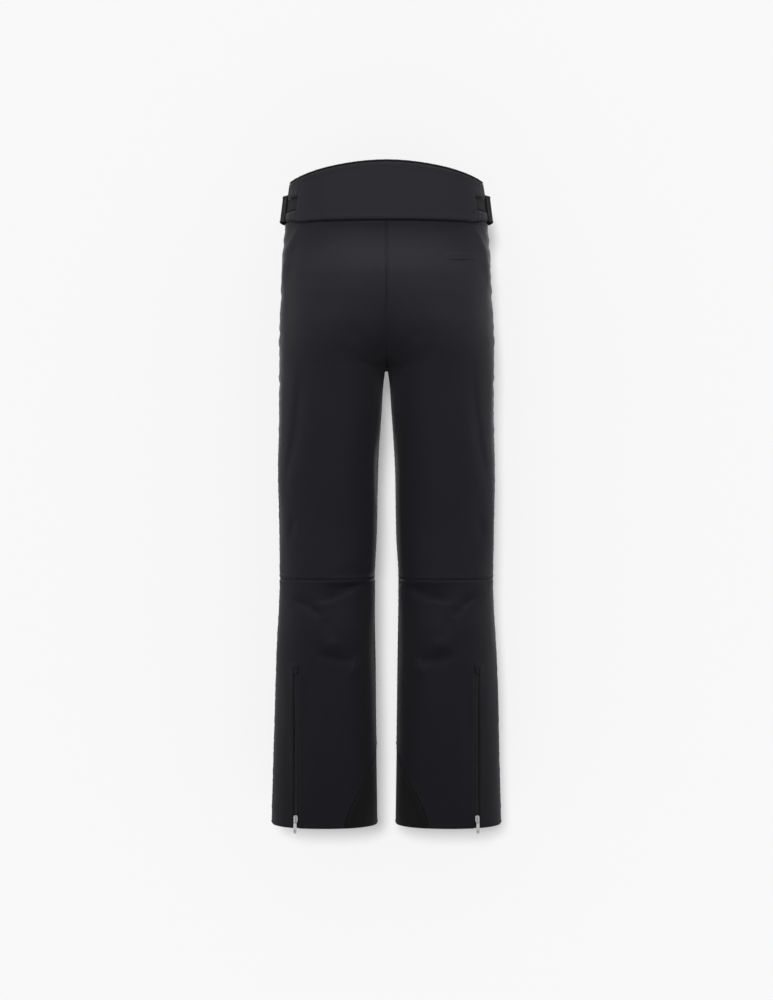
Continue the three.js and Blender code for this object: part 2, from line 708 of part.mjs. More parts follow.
function fly() {
  const low = new THREE.Vector3(0, bodyPoint(1, 1, FLY_LOW, 0, false)[1], FLY_LOW + 0.8);
  const topZ = WAIST_SEAM_FRONT - 1.2;
  const high = new THREE.Vector3(0, bodyPoint(1, 1, topZ, 0, false)[1], topZ);
  const frame = frameOn(low, high, new THREE.Vector3(0, -1, 0));
  const length = high.distanceTo(low);
  addMesh(frame, 'fly_zip', zipTape(length, -0.9, -4), COLOURS.tape);
  addSlider(frame, 'fly', length - SLIDER_HALF - FLY_SLIDER_GAP, 20);
  const shield = plate(outlineShape([[-20, -6], [-20, length], [24, length], [24, 18], [12, -6]]), -8.4, 1.6);
  addMesh(frame, 'fly_shield', shield, COLOURS.lining);
}

const TAB = { rootX: 24, tipX: -46, low: 1034, high: 1056, inside: 3.2, outside: 5.2 };
const SNAP_X = [-14, -34];

function frontY(x, z, offset) {
  const r = WIDE_RADIUS - WAIST_TAPER * (z - WAIST_SEAM_SIDE) + offset;
  return WIDE_CENTRE - Math.sqrt(r * r - x * x);
}

function disc(profile) {
  const points = profile.map(([r, h]) => new THREE.Vector2(r, h));
  return new THREE.LatheGeometry(points, 16).rotateX(Math.PI / 2);
}

function closure() {
  const steps = 8;
  const ease = (j) => (j === steps ? 4 : 0);
  const tab = sheetSolid(1, steps, (i, j, layer) => {
    const x = TAB.rootX + ((TAB.tipX - TAB.rootX) * j) / steps;
    const z = i ? TAB.high - ease(j) : TAB.low + ease(j);
    return [x, frontY(x, z, layer ? TAB.inside : TAB.outside), z];
  });
  addMesh(group, 'closure_tab', tab, COLOURS.shell);
  const middle = (TAB.low + TAB.high) / 2;
  const capProfile = [[0, 0.3], [6.5, 0.3], [6.5, 1.2], [5.4, 2.1], [0, 2.1]];
  const studProfile = [[0, 0.3], [6, 0.3], [6, 1.2], [2.2, 1.2], [2.2, 2.6], [0, 2.6]];
  SNAP_X.forEach((x, index) => {
    const outward = new THREE.Vector3(x, frontY(x, middle, 0) - WIDE_CENTRE, 0).normalize();
    outward.setZ(WAIST_TAPER).normalize();
    const seat = (name, profile, offset) => {
      const mesh = addMesh(group, name, disc(profile), COLOURS.metal, 0.4, 0.9);
      mesh.position.set(x, frontY(x, middle, offset), middle);
      mesh.quaternion.setFromUnitVectors(new THREE.Vector3(0, 0, 1), outward);
    };
    seat(`snap_cap_${index + 1}`, capProfile, TAB.outside);
    seat(`snap_stud_${index + 1}`, studProfile, 0.1);
  });
}

// Hang loop inside the centre back: a cord with both ends at the facing.
function hangLoop() {
  const inside = (x, z, stand) => {
    const r = WIDE_RADIUS - WAIST_TAPER * (z - WAIST_SEAM_SIDE) - BAND - stand;
    return new THREE.Vector3(x, Math.sqrt(r * r - x * x) - WIDE_CENTRE, z);
  };
  const route = new THREE.CatmullRomCurve3([
    inside(-26, 1108, 1.9), inside(-25, 1103, 4), inside(-21, 1092, 7), inside(-10, 1084, 8),
    inside(10, 1084, 8), inside(21, 1092, 7), inside(25, 1103, 4), inside(26, 1108, 1.9)
  ]);
  const ring = Array.from({ length: 8 }, (_, k) => (k * Math.PI) / 4);
  const section = outlineShape(ring.map((angle) => [1.5 * Math.cos(angle), 1.5 * Math.sin(angle)]));
  const cord = new THREE.ExtrudeGeometry(section, { steps: 18, extrudePath: route, bevelEnabled: false });
  addMesh(group, 'hang_loop', cord, COLOURS.webbing);
}

for (const [label, side] of [['left', 1], ['right', -1]]) {
  backUpperPanel(`back_panel_${label}`, side);
  frontUpperPanel(`front_panel_${label}`, side);
  kneePanel(`knee_panel_${label}`, side);
  shinPanel(`shin_panel_${label}`, side);
  calfPanel(`calf_panel_${label}`, side);
  kickPanel(`kick_panel_${label}`, side);
  frontWaistband(label, side);
  adjuster(label, side);
  cuff(label, side);
  gaiter(label, side);
  handPocket(label, side);
}
backWaistband();
innerBands();
backPocket();
fly();
closure();
hangLoop();

export default group;
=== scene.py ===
import math
from functools import partial

import bpy
import numpy as np
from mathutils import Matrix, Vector


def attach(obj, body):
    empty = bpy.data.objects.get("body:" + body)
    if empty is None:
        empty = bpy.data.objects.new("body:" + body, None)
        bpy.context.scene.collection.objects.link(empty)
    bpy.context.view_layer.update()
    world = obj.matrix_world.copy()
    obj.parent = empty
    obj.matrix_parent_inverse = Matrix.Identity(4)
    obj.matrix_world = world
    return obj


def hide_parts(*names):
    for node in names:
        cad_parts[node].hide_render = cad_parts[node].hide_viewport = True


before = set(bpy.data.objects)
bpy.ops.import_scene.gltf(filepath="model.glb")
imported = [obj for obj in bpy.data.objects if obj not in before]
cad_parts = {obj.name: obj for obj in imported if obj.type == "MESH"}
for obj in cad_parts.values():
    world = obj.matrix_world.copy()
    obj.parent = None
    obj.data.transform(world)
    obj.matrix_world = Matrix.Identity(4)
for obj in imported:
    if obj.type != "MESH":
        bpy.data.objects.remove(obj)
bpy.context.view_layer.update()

# Ski pants. Shapes are worked out in millimetres above the hem and placed in the frame, whose
# origin is at the waist. The front faces -Y, so the wearer's left is +X.
WAIST_SEAM_SIDE = 1031.0
ROOT = "garment"


# ---------------------------------------------------------------- camera
def add_camera():
    data = bpy.data.cameras.new("camera")
    data.lens = 77.44
    data.sensor_width = 36.0
    camera = bpy.data.objects.new("camera", data)
    camera.location = (0.0, 3.7, -0.4763)
    camera.rotation_euler = (math.radians(90), 0, math.radians(180))
    bpy.context.scene.collection.objects.link(camera)
    bpy.context.scene.camera = camera


add_camera()

# ---------------------------------------------------------------- the garment's form
KNEE_SEAM_BACK = 420.0
KNEE_TOP_FRONT = 560.0
KNEE_BOTTOM_FRONT = 395.0
WAIST_SEAM_BACK = 1024.0
WAIST_SEAM_FRONT = 1027.0
BACK_TOP = 1126.0
SIDE_TOP = 1088.0
FRONT_TOP = 1062.0
SIDE_AXIS_X = 80.0
SIDE_RADIUS = 92.0
WIDE_RADIUS = 417.0
WIDE_CENTRE = 315.0
ARC_CHANGE = math.degrees(math.atan2(WIDE_CENTRE, SIDE_AXIS_X))
SIDE_SHARE = 0.54
WAIST_TAPER = 0.12
SECTION_POWER = 2.2
OVAL_START = 925.0
OVAL_FULL = 1018.0
CUFF_ZIP_X = 153.0
CUFF_ZIP_TOP = 271.0
KICK_TOP = 137.0
KICK_HEM_ANGLE = 111.0
KICK_CURVE = 1.7
KICK_LAST_SHARE = 0.985
BACK_ARCH = 28.0
BACK_ARCH_HALF = 168.0
BACK_ARCH_POWER = 1.9
POCKET_TOP = (131.0, 985.0)
POCKET_LOW = (156.0, 862.0)
FLY_LOW = 905.0
SHELL = 1.5

# z, inner x, outer x, front depth, back depth of one leg's section.
STATIONS = np.array([
    (0, 15.5, 197, 72, 75), (290, 19.5, 188.5, 82, 86), (420, 20.6, 182.8, 91, 80),
    (500, 17, 184, 93, 77), (600, 15.3, 186, 98, 86), (700, 9, 184, 106, 98),
    (783, 0.6, 184, 113, 111), (800, -16, 184, 117, 117), (830, -60, 184, 121, 128),
    (860, -108, 183, 123, 135), (900, -157, 180.6, 121, 137), (930, -179, 178.8, 117.5, 134),
    (961, -177, 177, 113, 127), (1000, -174.4, 174.4, 107, 112), (1040, -172, 172, 101, 101)])


def smooth(low, high, value):
    t = np.clip((np.asarray(value, float) - low) / (high - low), 0, 1)
    return t * t * (3 - 2 * t)


def eased(z, column):
    """A station value at z, on a monotone cubic through the stations."""
    xs, ys = STATIONS[:, 0], STATIONS[:, column]
    h = np.diff(xs)
    slope = np.diff(ys) / h
    tangent = np.zeros_like(ys)
    tangent[0], tangent[-1] = slope[0], slope[-1]
    same = slope[:-1] * slope[1:] > 0
    w1 = 2 * h[1:] + h[:-1]
    w2 = h[1:] + 2 * h[:-1]
    safe = np.where(same, slope[:-1] * slope[1:], 1)
    tangent[1:-1] = np.where(same, (w1 + w2) * safe / (w1 * slope[1:] + w2 * slope[:-1] + 1e-12), 0)
    i = np.clip(np.searchsorted(xs, z) - 1, 0, len(h) - 1)
    t = np.clip((z - xs[i]) / h[i], 0, 1)
    a = (1 + 2 * t) * (1 - t) ** 2 * ys[i] + t * t * (3 - 2 * t) * ys[i + 1]
    return a + h[i] * (t * (1 - t) ** 2 * tangent[i] - t * t * (1 - t) * tangent[i + 1])


def signed_power(value, power):
    return np.sign(value) * np.abs(value) ** power


def arc_angle(share):
    low = share / SIDE_SHARE * ARC_CHANGE
    high = ARC_CHANGE + (share - SIDE_SHARE) / (1 - SIDE_SHARE) * (90 - ARC_CHANGE)
    return np.where(share < SIDE_SHARE, low, high)


def arc_share(angle):
    low = angle / ARC_CHANGE * SIDE_SHARE
    high = SIDE_SHARE + (angle - ARC_CHANGE) / (90 - ARC_CHANGE) * (1 - SIDE_SHARE)
    return np.where(np.asarray(angle) < ARC_CHANGE, low, high)


def waist_point(side, angle, z, offset):
    """Point on the waist's plan: angle 0 is the side, 90 the centre back, -90 the centre front."""
    side, angle, z, offset = np.broadcast_arrays(
        np.asarray(side, float), np.asarray(angle, float), np.asarray(z, float), np.asarray(offset, float))
    nu = np.radians(angle)
    shrink = WAIST_TAPER * (z - WAIST_SEAM_SIDE)
    near = SIDE_RADIUS - shrink + offset
    far = WIDE_RADIUS - shrink + offset
    narrow = np.abs(angle) <= ARC_CHANGE
    x = np.where(narrow, SIDE_AXIS_X + near * np.cos(nu), far * np.cos(nu))
    y = np.where(narrow, near * np.sin(nu), far * np.sin(nu) - np.sign(angle) * WIDE_CENTRE)
    return np.stack([side * x, y, z], -1)


def leg_section(z, offset):
    """Centre and half-width of one leg's section."""
    inner, outer = eased(z, 1), eased(z, 2)
    return (inner + outer) / 2, (outer - inner) / 2 + offset


def leg_axis(side, z):
    return np.stack([side * np.maximum(leg_section(z, 0)[0], 0), 0 * z, z], -1)


def leg_point(side, phi, z, offset, back):
    cx, a = leg_section(z, offset)
    depth = eased(z, 4 if back else 3) + offset
    x = cx + a * signed_power(np.cos(phi), 2 / SECTION_POWER)
    y = depth * signed_power(np.sin(phi), 2 / SECTION_POWER)
    return np.stack([side * x, y if back else -y, z + 0 * x], -1)


def body_point(side, share, z, offset, back):
    """Point on the shell: share 0 is the side, 1 the inseam or the centre seam."""
    share, z = np.broadcast_arrays(np.asarray(share, float), np.asarray(z, float))
    cx, a = leg_section(z, offset)
    reach = np.clip(-cx / a, -1, 1)
    last = np.arccos(np.clip(signed_power(reach, SECTION_POWER / 2), -1, 1))
    leg = leg_point(side, share * last, z, offset, back)
    angle = arc_angle(share) * (1 if back else -1)
    oval = waist_point(side, angle, z, offset)
    mix = smooth(OVAL_START, OVAL_FULL, z)[..., None]
    return leg + (oval - leg) * mix


def share_at_x(x, z, back):
    x, z = np.broadcast_arrays(np.asarray(x, float), np.asarray(z, float))
    low, high = np.zeros(x.shape), np.ones(x.shape)
    for _ in range(26):
        middle = (low + high) / 2
        outside = body_point(1, middle, z, 0, back)[..., 0] > x
        low, high = np.where(outside, middle, low), np.where(outside, high, middle)
    return (low + high) / 2


def share_per_mm(share, z, back):
    a = body_point(1, share - 0.004, z, 0, back)
    b = body_point(1, share + 0.004, z, 0, back)
    return 0.008 / np.linalg.norm(a - b, axis=-1)


def waist_seam(share, back):
    if back:
        fall = smooth(50, 22, arc_angle(np.asarray(share, float)))
        return WAIST_SEAM_BACK + (WAIST_SEAM_SIDE - WAIST_SEAM_BACK) * fall
    return WAIST_SEAM_SIDE + (WAIST_SEAM_FRONT - WAIST_SEAM_SIDE) * smooth(0, 1, share)


def kick_share(z):
    """Where the kick panel begins on the leg, sweeping from the hem up to the inseam."""
    rise = np.clip(np.asarray(z, float) / KICK_TOP, 0, 1) ** KICK_CURVE
    low = (KICK_HEM_ANGLE + (180 - KICK_HEM_ANGLE) * rise) / 180
    return np.minimum(low, KICK_LAST_SHARE)


def pocket_share(z):
    t = np.clip((np.asarray(z, float) - POCKET_LOW[1]) / (POCKET_TOP[1] - POCKET_LOW[1]), -0.3, 1.3)
    return share_at_x(POCKET_LOW[0] + (POCKET_TOP[0] - POCKET_LOW[0]) * t, z, False)


def cuff_share(z):
    return share_at_x(CUFF_ZIP_X, np.minimum(z, 290), True)


def back_top(angle):
    x = waist_point(1, angle, WAIST_SEAM_SIDE, 0)[..., 0]
    return BACK_TOP - BACK_ARCH * np.minimum(x / BACK_ARCH_HALF, 1.02) ** BACK_ARCH_POWER


def front_top(angle):
    angle = np.asarray(angle, float)
    fall = SIDE_TOP - (SIDE_TOP - FRONT_TOP) * smooth(0, 75, -angle)
    return np.where(angle > 0, fall + (back_top(angle) - fall) * smooth(2, 22, angle), fall)


def metres(points):
    points = np.asarray(points, float).copy()
    points[..., 2] -= WAIST_SEAM_SIDE
    return points / 1000


# ---------------------------------------------------------------- materials
def node_tree(name):
    material = bpy.data.materials.new(name)
    material.use_nodes = True
    tree = material.node_tree
    shader = tree.nodes["Principled BSDF"]
    return material, tree, shader


def add_node(tree, kind, **values):
    node = tree.nodes.new(kind)
    for key, value in values.items():
        if key in node.inputs.keys():
            node.inputs[key].default_value = value
        else:
            setattr(node, key, value)
    return node


def math_node(tree, operation, a, b=None):
    node = tree.nodes.new("ShaderNodeMath")
    node.operation = operation
    for socket, value in zip(node.inputs, (a, b)):
        if value is None:
            continue
        if isinstance(value, (int, float)):
            socket.default_value = value
        else:
            tree.links.new(value, socket)
    return node.outputs[0]


def vary_roughness(tree, shader, source, low, high):
    spread = tree.nodes.new("ShaderNodeMapRange")
    spread.inputs["To Min"].default_value = low
    spread.inputs["To Max"].default_value = high
    tree.links.new(source, spread.inputs["Value"])
    tree.links.new(spread.outputs[0], shader.inputs["Roughness"])


def two_tone(tree, shader, factor, dark, light):
    ramp = tree.nodes.new("ShaderNodeValToRGB")
    ramp.color_ramp.elements[0].position = 0.3
    ramp.color_ramp.elements[1].position = 0.7
    ramp.color_ramp.elements[0].color = (*dark, 1)
    ramp.color_ramp.elements[1].color = (*light, 1)
    tree.links.new(factor, ramp.inputs[0])
    tree.links.new(ramp.outputs[0], shader.inputs["Base Color"])


def cloth_material(name, colour, spread=0.1, roughness=0.8, sheen=0.2, pitch=0.0007, relief=0.00006,
                   diagonal=True, crumple=0.0003):
    """Woven cloth: threads from the piece's own flat measure, slubs, and slight unevenness."""
    material, tree, shader = node_tree(name)
    uv = add_node(tree, "ShaderNodeUVMap", uv_map="cloth")
    split = tree.nodes.new("ShaderNodeSeparateXYZ")
    tree.links.new(uv.outputs[0], split.inputs[0])
    u, v = split.outputs[0], split.outputs[1]
    turn = 2 * math.pi / pitch
    if diagonal:
        first = math_node(tree, "ADD", u, math_node(tree, "MULTIPLY", v, 0.5))
        second = math_node(tree, "SUBTRACT", v, math_node(tree, "MULTIPLY", u, 0.5))
    else:
        first, second = u, v
    ribs = math_node(tree, "SINE", math_node(tree, "MULTIPLY", first, turn))
    cross = math_node(tree, "SINE", math_node(tree, "MULTIPLY", second, turn * 0.8))
    weave = math_node(tree, "ADD", ribs, math_node(tree, "MULTIPLY", cross, 0.6))
    slub = add_node(tree, "ShaderNodeTexNoise", Scale=900.0, Detail=3.0)
    tree.links.new(uv.outputs[0], slub.inputs["Vector"])
    patch = add_node(tree, "ShaderNodeTexNoise", Scale=14.0, Detail=5.0, Roughness=0.6)
    tree.links.new(uv.outputs[0], patch.inputs["Vector"])
    tone = math_node(tree, "ADD", math_node(tree, "MULTIPLY", patch.outputs[0], 0.5),
                     math_node(tree, "MULTIPLY", slub.outputs[0], 0.5))
    tone = math_node(tree, "ADD", tone, math_node(tree, "MULTIPLY", weave, 0.06))
    two_tone(tree, shader, tone, [c * (1 - spread) for c in colour], [c * (1 + spread) for c in colour])
    vary_roughness(tree, shader, patch.outputs[0], roughness - 0.07, roughness + 0.07)
    shader.inputs["Specular IOR Level"].default_value = 0.22
    shader.inputs["Sheen Weight"].default_value = sheen
    shader.inputs["Sheen Roughness"].default_value = 0.45
    broad = add_node(tree, "ShaderNodeBump", Strength=0.5, Distance=crumple)
    tree.links.new(patch.outputs[0], broad.inputs["Height"])
    fine = add_node(tree, "ShaderNodeBump", Strength=0.6, Distance=relief)
    tree.links.new(weave, fine.inputs["Height"])
    tree.links.new(broad.outputs[0], fine.inputs["Normal"])
    tree.links.new(fine.outputs[0], shader.inputs["Normal"])
    return material


def metal_material(name, colour, roughness):
    material, tree, shader = node_tree(name)
    shader.inputs["Metallic"].default_value = 1.0
    place = tree.nodes.new("ShaderNodeTexCoord")
    grain = add_node(tree, "ShaderNodeTexNoise", Scale=2600.0, Detail=3.0)
    wear = add_node(tree, "ShaderNodeTexNoise", Scale=240.0, Detail=4.0)
    for texture in (grain, wear):
        tree.links.new(place.outputs["Object"], texture.inputs["Vector"])
    two_tone(tree, shader, wear.outputs[0], [c * 0.86 for c in colour], colour)
    vary_roughness(tree, shader, grain.outputs[0], roughness - 0.08, roughness + 0.1)
    bump = add_node(tree, "ShaderNodeBump", Strength=0.25, Distance=0.00004)
    tree.links.new(grain.outputs[0], bump.inputs["Height"])
    tree.links.new(bump.outputs[0], shader.inputs["Normal"])
    return material


SHELL_COLOUR = (0.0098, 0.0090, 0.0136)
MATERIALS = {
    "shell": cloth_material("shell", SHELL_COLOUR, sheen=0.05),
    "kick": cloth_material("kick", (0.0064, 0.0065, 0.0065), roughness=0.9, sheen=0.05, pitch=0.0012,
                           relief=0.00016, diagonal=False),
    "webbing": cloth_material("webbing", (0.0042, 0.0040, 0.0052), pitch=0.0011, relief=0.00018,
                              diagonal=False, sheen=0.03),
    "hook_loop": cloth_material("hook_loop", (0.0034, 0.0033, 0.004), roughness=0.95, sheen=0.08,
                                pitch=0.0008, relief=0.0003),
    "zip_tape": cloth_material("zip_tape", (0.0046, 0.0043, 0.0058), pitch=0.0008, relief=0.0001,
                               roughness=0.6, diagonal=False),
    "lining": cloth_material("lining", (0.013, 0.0128, 0.0152), roughness=0.55, sheen=0.1, pitch=0.0005,
                             relief=0.00003, diagonal=False, crumple=0.0008),
    "elastic": cloth_material("elastic", (0.0085, 0.0083, 0.0098), pitch=0.0014, relief=0.0003,
                              diagonal=False),
    "thread": cloth_material("thread", (0.0125, 0.012, 0.0148), pitch=0.0004, relief=0.00005, sheen=0.3),
    "zip_metal": metal_material("zip_metal", (0.66, 0.67, 0.68), 0.32),
}


# ---------------------------------------------------------------- meshes
def unit(vectors):
    return vectors / (np.linalg.norm(vectors, axis=-1, keepdims=True) + 1e-12)


def finish_piece(obj, body, slot, replaced=None):
    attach(obj, body)
    if replaced:
        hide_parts(replaced)
    return obj


def mesh_object(name, points, faces, materials, indices=None, uvs=None):
    mesh = bpy.data.meshes.new(name)
    mesh.from_pydata(points.tolist(), [], faces.tolist())
    for key in materials:
        mesh.materials.append(MATERIALS[key])
    if indices is not None:
        mesh.polygons.foreach_set("material_index", indices.astype(np.int32))
    if uvs is not None:
        layer = mesh.uv_layers.new(name="cloth")
        corner = np.empty(len(mesh.loops), np.int32)
        mesh.loops.foreach_get("vertex_index", corner)
        layer.data.foreach_set("uv", uvs[corner].astype(np.float32).ravel())
    mesh.polygons.foreach_set("use_smooth", np.ones(len(mesh.polygons), bool))
    mesh.update()
    obj = bpy.data.objects.new(name, mesh)
    bpy.context.scene.collection.objects.link(obj)
    return obj


def grid_normals(points, outward):
    normal = unit(np.cross(np.gradient(points, axis=1), np.gradient(points, axis=0)))
    return normal * np.where(np.sum(normal * outward, -1, keepdims=True) < 0, -1, 1)


def lengths(points, axis):
    step = np.linalg.norm(np.diff(points, axis=axis), axis=-1)
    zero = np.zeros_like(np.take(step, [0], axis=axis))
    return np.concatenate([zero, np.cumsum(step, axis=axis)], axis=axis)


def edge_gap(points):
    across, up = lengths(points, 1), lengths(points, 0)
    return np.minimum(np.minimum(across, across[:, -1:] - across), np.minimum(up, up[-1:] - up))


def cloth_sheet(name, points, outward, relief, thickness, keep, materials, roll=None):
    """A closed sheet of cloth from a grid of points in millimetres. keep says which cells exist, and roll
    is each point's distance from an edge that is rounded over."""
    normal = grid_normals(points, outward)
    thickness = np.broadcast_to(thickness, relief.shape).astype(float)
    if roll is not None:
        half = thickness / 2
        fall = half * (1 - np.sqrt(np.clip(1 - np.clip(1 - roll / half, 0, 1) ** 2, 0, 1)))
        relief = relief - fall
        thickness = np.maximum(thickness - 2 * fall, 0.12)
    outer = points + normal * relief[..., None]
    inner = outer - normal * thickness[..., None]
    rows, columns = points.shape[:2]
    uv = np.stack([lengths(points, 1), lengths(points, 0)], -1).reshape(-1, 2) / 1000
    index = np.arange(rows * columns).reshape(rows, columns)
    a, b, c, d = index[:-1, :-1], index[:-1, 1:], index[1:, 1:], index[1:, :-1]
    quads = np.stack([a, b, c, d], -1)[keep]
    corner = outer[:-1, :-1][keep]
    facing = np.cross(outer[:-1, 1:][keep] - corner, outer[1:, :-1][keep] - corner)
    if np.sum(facing * normal[:-1, :-1][keep]) < 0:
        quads = quads[:, ::-1]
    total = rows * columns
    back = quads[:, ::-1] + total
    edges = np.concatenate([quads[:, [k, (k + 1) % 4]] for k in range(4)])
    open_edge = ~np.isin(edges[:, 0] * total + edges[:, 1], edges[:, 1] * total + edges[:, 0])
    border = edges[open_edge]
    rim = np.stack([border[:, 1], border[:, 0], border[:, 0] + total, border[:, 1] + total], -1)
    faces = np.concatenate([quads, back, rim])
    kinds = np.zeros(len(faces))
    kinds[len(quads):2 * len(quads)] = len(materials) - 1
    used = np.unique(faces)
    remap = np.full(2 * total, -1)
    remap[used] = np.arange(len(used))
    both = np.concatenate([outer.reshape(-1, 3), inner.reshape(-1, 3)])[used]
    obj = mesh_object(name, metres(both), remap[faces], materials, kinds, np.concatenate([uv, uv])[used])
    return obj, outer, normal


def declare(points):
    flat = tuple(round(float(lengths(points, axis).max()) / 1000, 4) for axis in (1, 0))


EDGE_MARKS = (0, 0.5, 1.1, 1.8, 2.6, 3.6, 5.0, 7.0, 9.5)


def marks(length, step):
    """Shares along a stretch, packed close at both ends."""
    near = [p for p in EDGE_MARKS if p < length * 0.42]
    middle = np.linspace(near[-1], length - near[-1], max(2, int((length - 2 * near[-1]) / step) + 2))
    return np.concatenate([near[:-1], middle, [length - p for p in near[:-1]][::-1]]) / length


def knotted(spans, step):
    """Interval number and share within it for each grid line between knots that far apart."""
    interval, share = [], []
    for k, span in enumerate(spans):
        here = marks(span, step)
        here = here if k == len(spans) - 1 else here[:-1]
        interval += [k] * len(here)
        share += list(here)
    return np.array(interval), np.array(share)


def knot_lines(interval, share, count):
    return [int(np.argmax((interval == k) & (share == 0))) for k in range(count - 1)] + [len(interval) - 1]


def value(item, *inputs):
    return item(*inputs) if callable(item) else item + 0 * inputs[0]


def ridge(distance, width):
    return np.exp(-(distance / width) ** 2)


def along_line(x, z, line):
    """Distance from each point to a polyline, the share of it at which the nearest place is, and the side
    of the line that the point is on, above zero for the left."""
    best, where, turn = np.full(x.shape, 1e9), np.zeros(x.shape), np.zeros(x.shape)
    line = np.array(line, float)
    runs = np.linalg.norm(np.diff(line, axis=0), axis=1)
    start = np.concatenate([[0], np.cumsum(runs)])
    for k in range(len(runs)):
        d = line[k + 1] - line[k]
        t = np.clip(((x - line[k, 0]) * d[0] + (z - line[k, 1]) * d[1]) / runs[k] ** 2, 0, 1)
        gap = np.hypot(x - line[k, 0] - t * d[0], z - line[k, 1] - t * d[1])
        where = np.where(gap < best, (start[k] + t * runs[k]) / start[-1], where)
        turn = np.where(gap < best, d[0] * (z - line[k, 1]) - d[1] * (x - line[k, 0]), turn)
        best = np.minimum(best, gap)
    return best, where, turn


def sample(grid, row, column):
    row, column = np.broadcast_arrays(np.asarray(row, float), np.asarray(column, float))
    r = np.clip(np.floor(row).astype(int), 0, grid.shape[0] - 2)
    c = np.clip(np.floor(column).astype(int), 0, grid.shape[1] - 2)
    fr, fc = (row - r)[:, None], (column - c)[:, None]
    top = grid[r, c] * (1 - fc) + grid[r, c + 1] * fc
    low = grid[r + 1, c] * (1 - fc) + grid[r + 1, c + 1] * fc
    return top * (1 - fr) + low * fr


def places_at(runs, distances):
    """Fractional index at which each run reaches its distance."""
    index = np.arange(runs.shape[1])
    return np.array([np.interp(distance, run, index) for distance, run in zip(distances, runs)])


# Round and swept solids, as lists of points, faces and flat measure.
def strip_cap(ring):
    count = len(ring)
    return [[ring[k], ring[k + 1], ring[count - 2 - k], ring[count - 1 - k]] for k in range(count // 2 - 1)]


def ring_solid(rings):
    """A closed solid through rings of points, each with the same even number of points."""
    rings = np.asarray(rings)
    count, sides = rings.shape[:2]
    index = np.arange(count * sides).reshape(count, sides)
    turned = np.roll(index, -1, axis=1)
    walls = np.stack([index[:-1], turned[:-1], turned[1:], index[1:]], -1).reshape(-1, 4)
    faces = np.concatenate([walls, strip_cap(index[0][::-1]), strip_cap(index[-1])])
    points = rings.reshape(-1, 3)
    p = points[faces]
    middle = points.mean(0)
    volume = np.sum(np.cross(p[:, 1] - p[:, 0], p[:, 2] - p[:, 0]) * (p[:, 0] - middle))
    volume += np.sum(np.cross(p[:, 2] - p[:, 0], p[:, 3] - p[:, 0]) * (p[:, 0] - middle))
    if volume < 0:
        faces = faces[:, ::-1]
    along = lengths(rings, 0)
    around = lengths(rings, 1)
    return points, faces, np.stack([along, around], -1).reshape(-1, 2) / 1000


def sweep(path, sideways, half_wide, half_tall, sides=12, power=2.4, swell=None):
    """A strip with rounded edges and ends along a path. swell(share, turn) changes its size."""
    path = np.asarray(path, float)
    tangent = unit(np.gradient(path, axis=0))
    up = unit(np.cross(tangent, sideways))
    across = np.cross(up, tangent)
    turn = (np.arange(sides) + 0.5) / sides * 2 * np.pi
    run = lengths(path[None], 1)[0]
    reach = np.minimum(run, run[-1] - run) / min(half_wide, half_tall)
    close = 0.35 + 0.65 * np.sqrt(np.clip(1 - np.clip(1 - reach, 0, 1) ** 2, 0, 1))
    size = close[:, None] * (swell(run[:, None], turn[None]) if swell else 1)
    x = half_wide * size * signed_power(np.cos(turn), 2 / power)
    y = half_tall * size * signed_power(np.sin(turn), 2 / power)
    return ring_solid(path[:, None] + across[:, None] * x[..., None] + up[:, None] * y[..., None])


def curve_through(points, count):
    """A smooth curve through points, with that many places on it."""
    p = np.asarray(points, float)
    p = np.concatenate([2 * p[:1] - p[1:2], p, 2 * p[-1:] - p[-2:-1]])
    t = np.linspace(0, len(p) - 3, count)
    i = np.minimum(t.astype(int), len(p) - 4)
    f = (t - i)[:, None]
    a, b, c, d = p[i], p[i + 1], p[i + 2], p[i + 3]
    return 0.5 * (2 * b + (c - a) * f + (2 * a - 5 * b + 4 * c - d) * f ** 2
                  + (3 * b - a - 3 * c + d) * f ** 3)


def rounded(outline, times=2):
    """Cuts the corners of a closed outline, so that it turns smoothly."""
    p = np.asarray(outline, float)
    for _ in range(times):
        following = np.roll(p, -1, axis=0)
        p = np.stack([p * 0.75 + following * 0.25, p * 0.25 + following * 0.75], 1).reshape(-1, 2)
    return p


def turned(outline, profile):
    """A solid with that outline, through (share of the outline, height) from top to bottom."""
    centre = outline.mean(0)
    rings = [np.column_stack([centre + (outline - centre) * share, np.full(len(outline), height)])
             for share, height in profile]
    return ring_solid(rings)


def circle(radius, sides=28):
    turn = np.arange(sides) / sides * 2 * np.pi
    return radius * np.stack([np.cos(turn), np.sin(turn)], -1)


def solid(name, parts, material, body, slot, place=None, node=None):
    points, faces, uvs, base = [], [], [], 0
    for p, f, uv in parts:
        points.append(p)
        faces.append(f + base)
        uvs.append(uv)
        base += len(p)
    points = np.concatenate(points)
    if place is not None:
        points = place(points)
    obj = mesh_object(name, metres(points), np.concatenate(faces), [material], uvs=np.concatenate(uvs))
    return finish_piece(obj, body, slot, node or name)


def frame_on(low, high, outward):
    """A frame on the cloth: X across a zip, Y up along it and Z out."""
    along = unit(high - low)
    across = unit(np.cross(along, outward))
    axes = np.stack([across, along, unit(np.cross(across, along))])

    def place(points, at=(0, 0, 0)):
        return low + (np.asarray(points) + np.asarray(at)) @ axes
    return place


# ---------------------------------------------------------------- stitching
STITCHES = {}
# Share along a stitch, share of its radius, and height of its middle over the cloth.
STITCH_RINGS = ((0.0, 0.35, -0.15), (0.25, 1, 0.12), (0.75, 1, 0.12), (1.0, 0.35, -0.15))


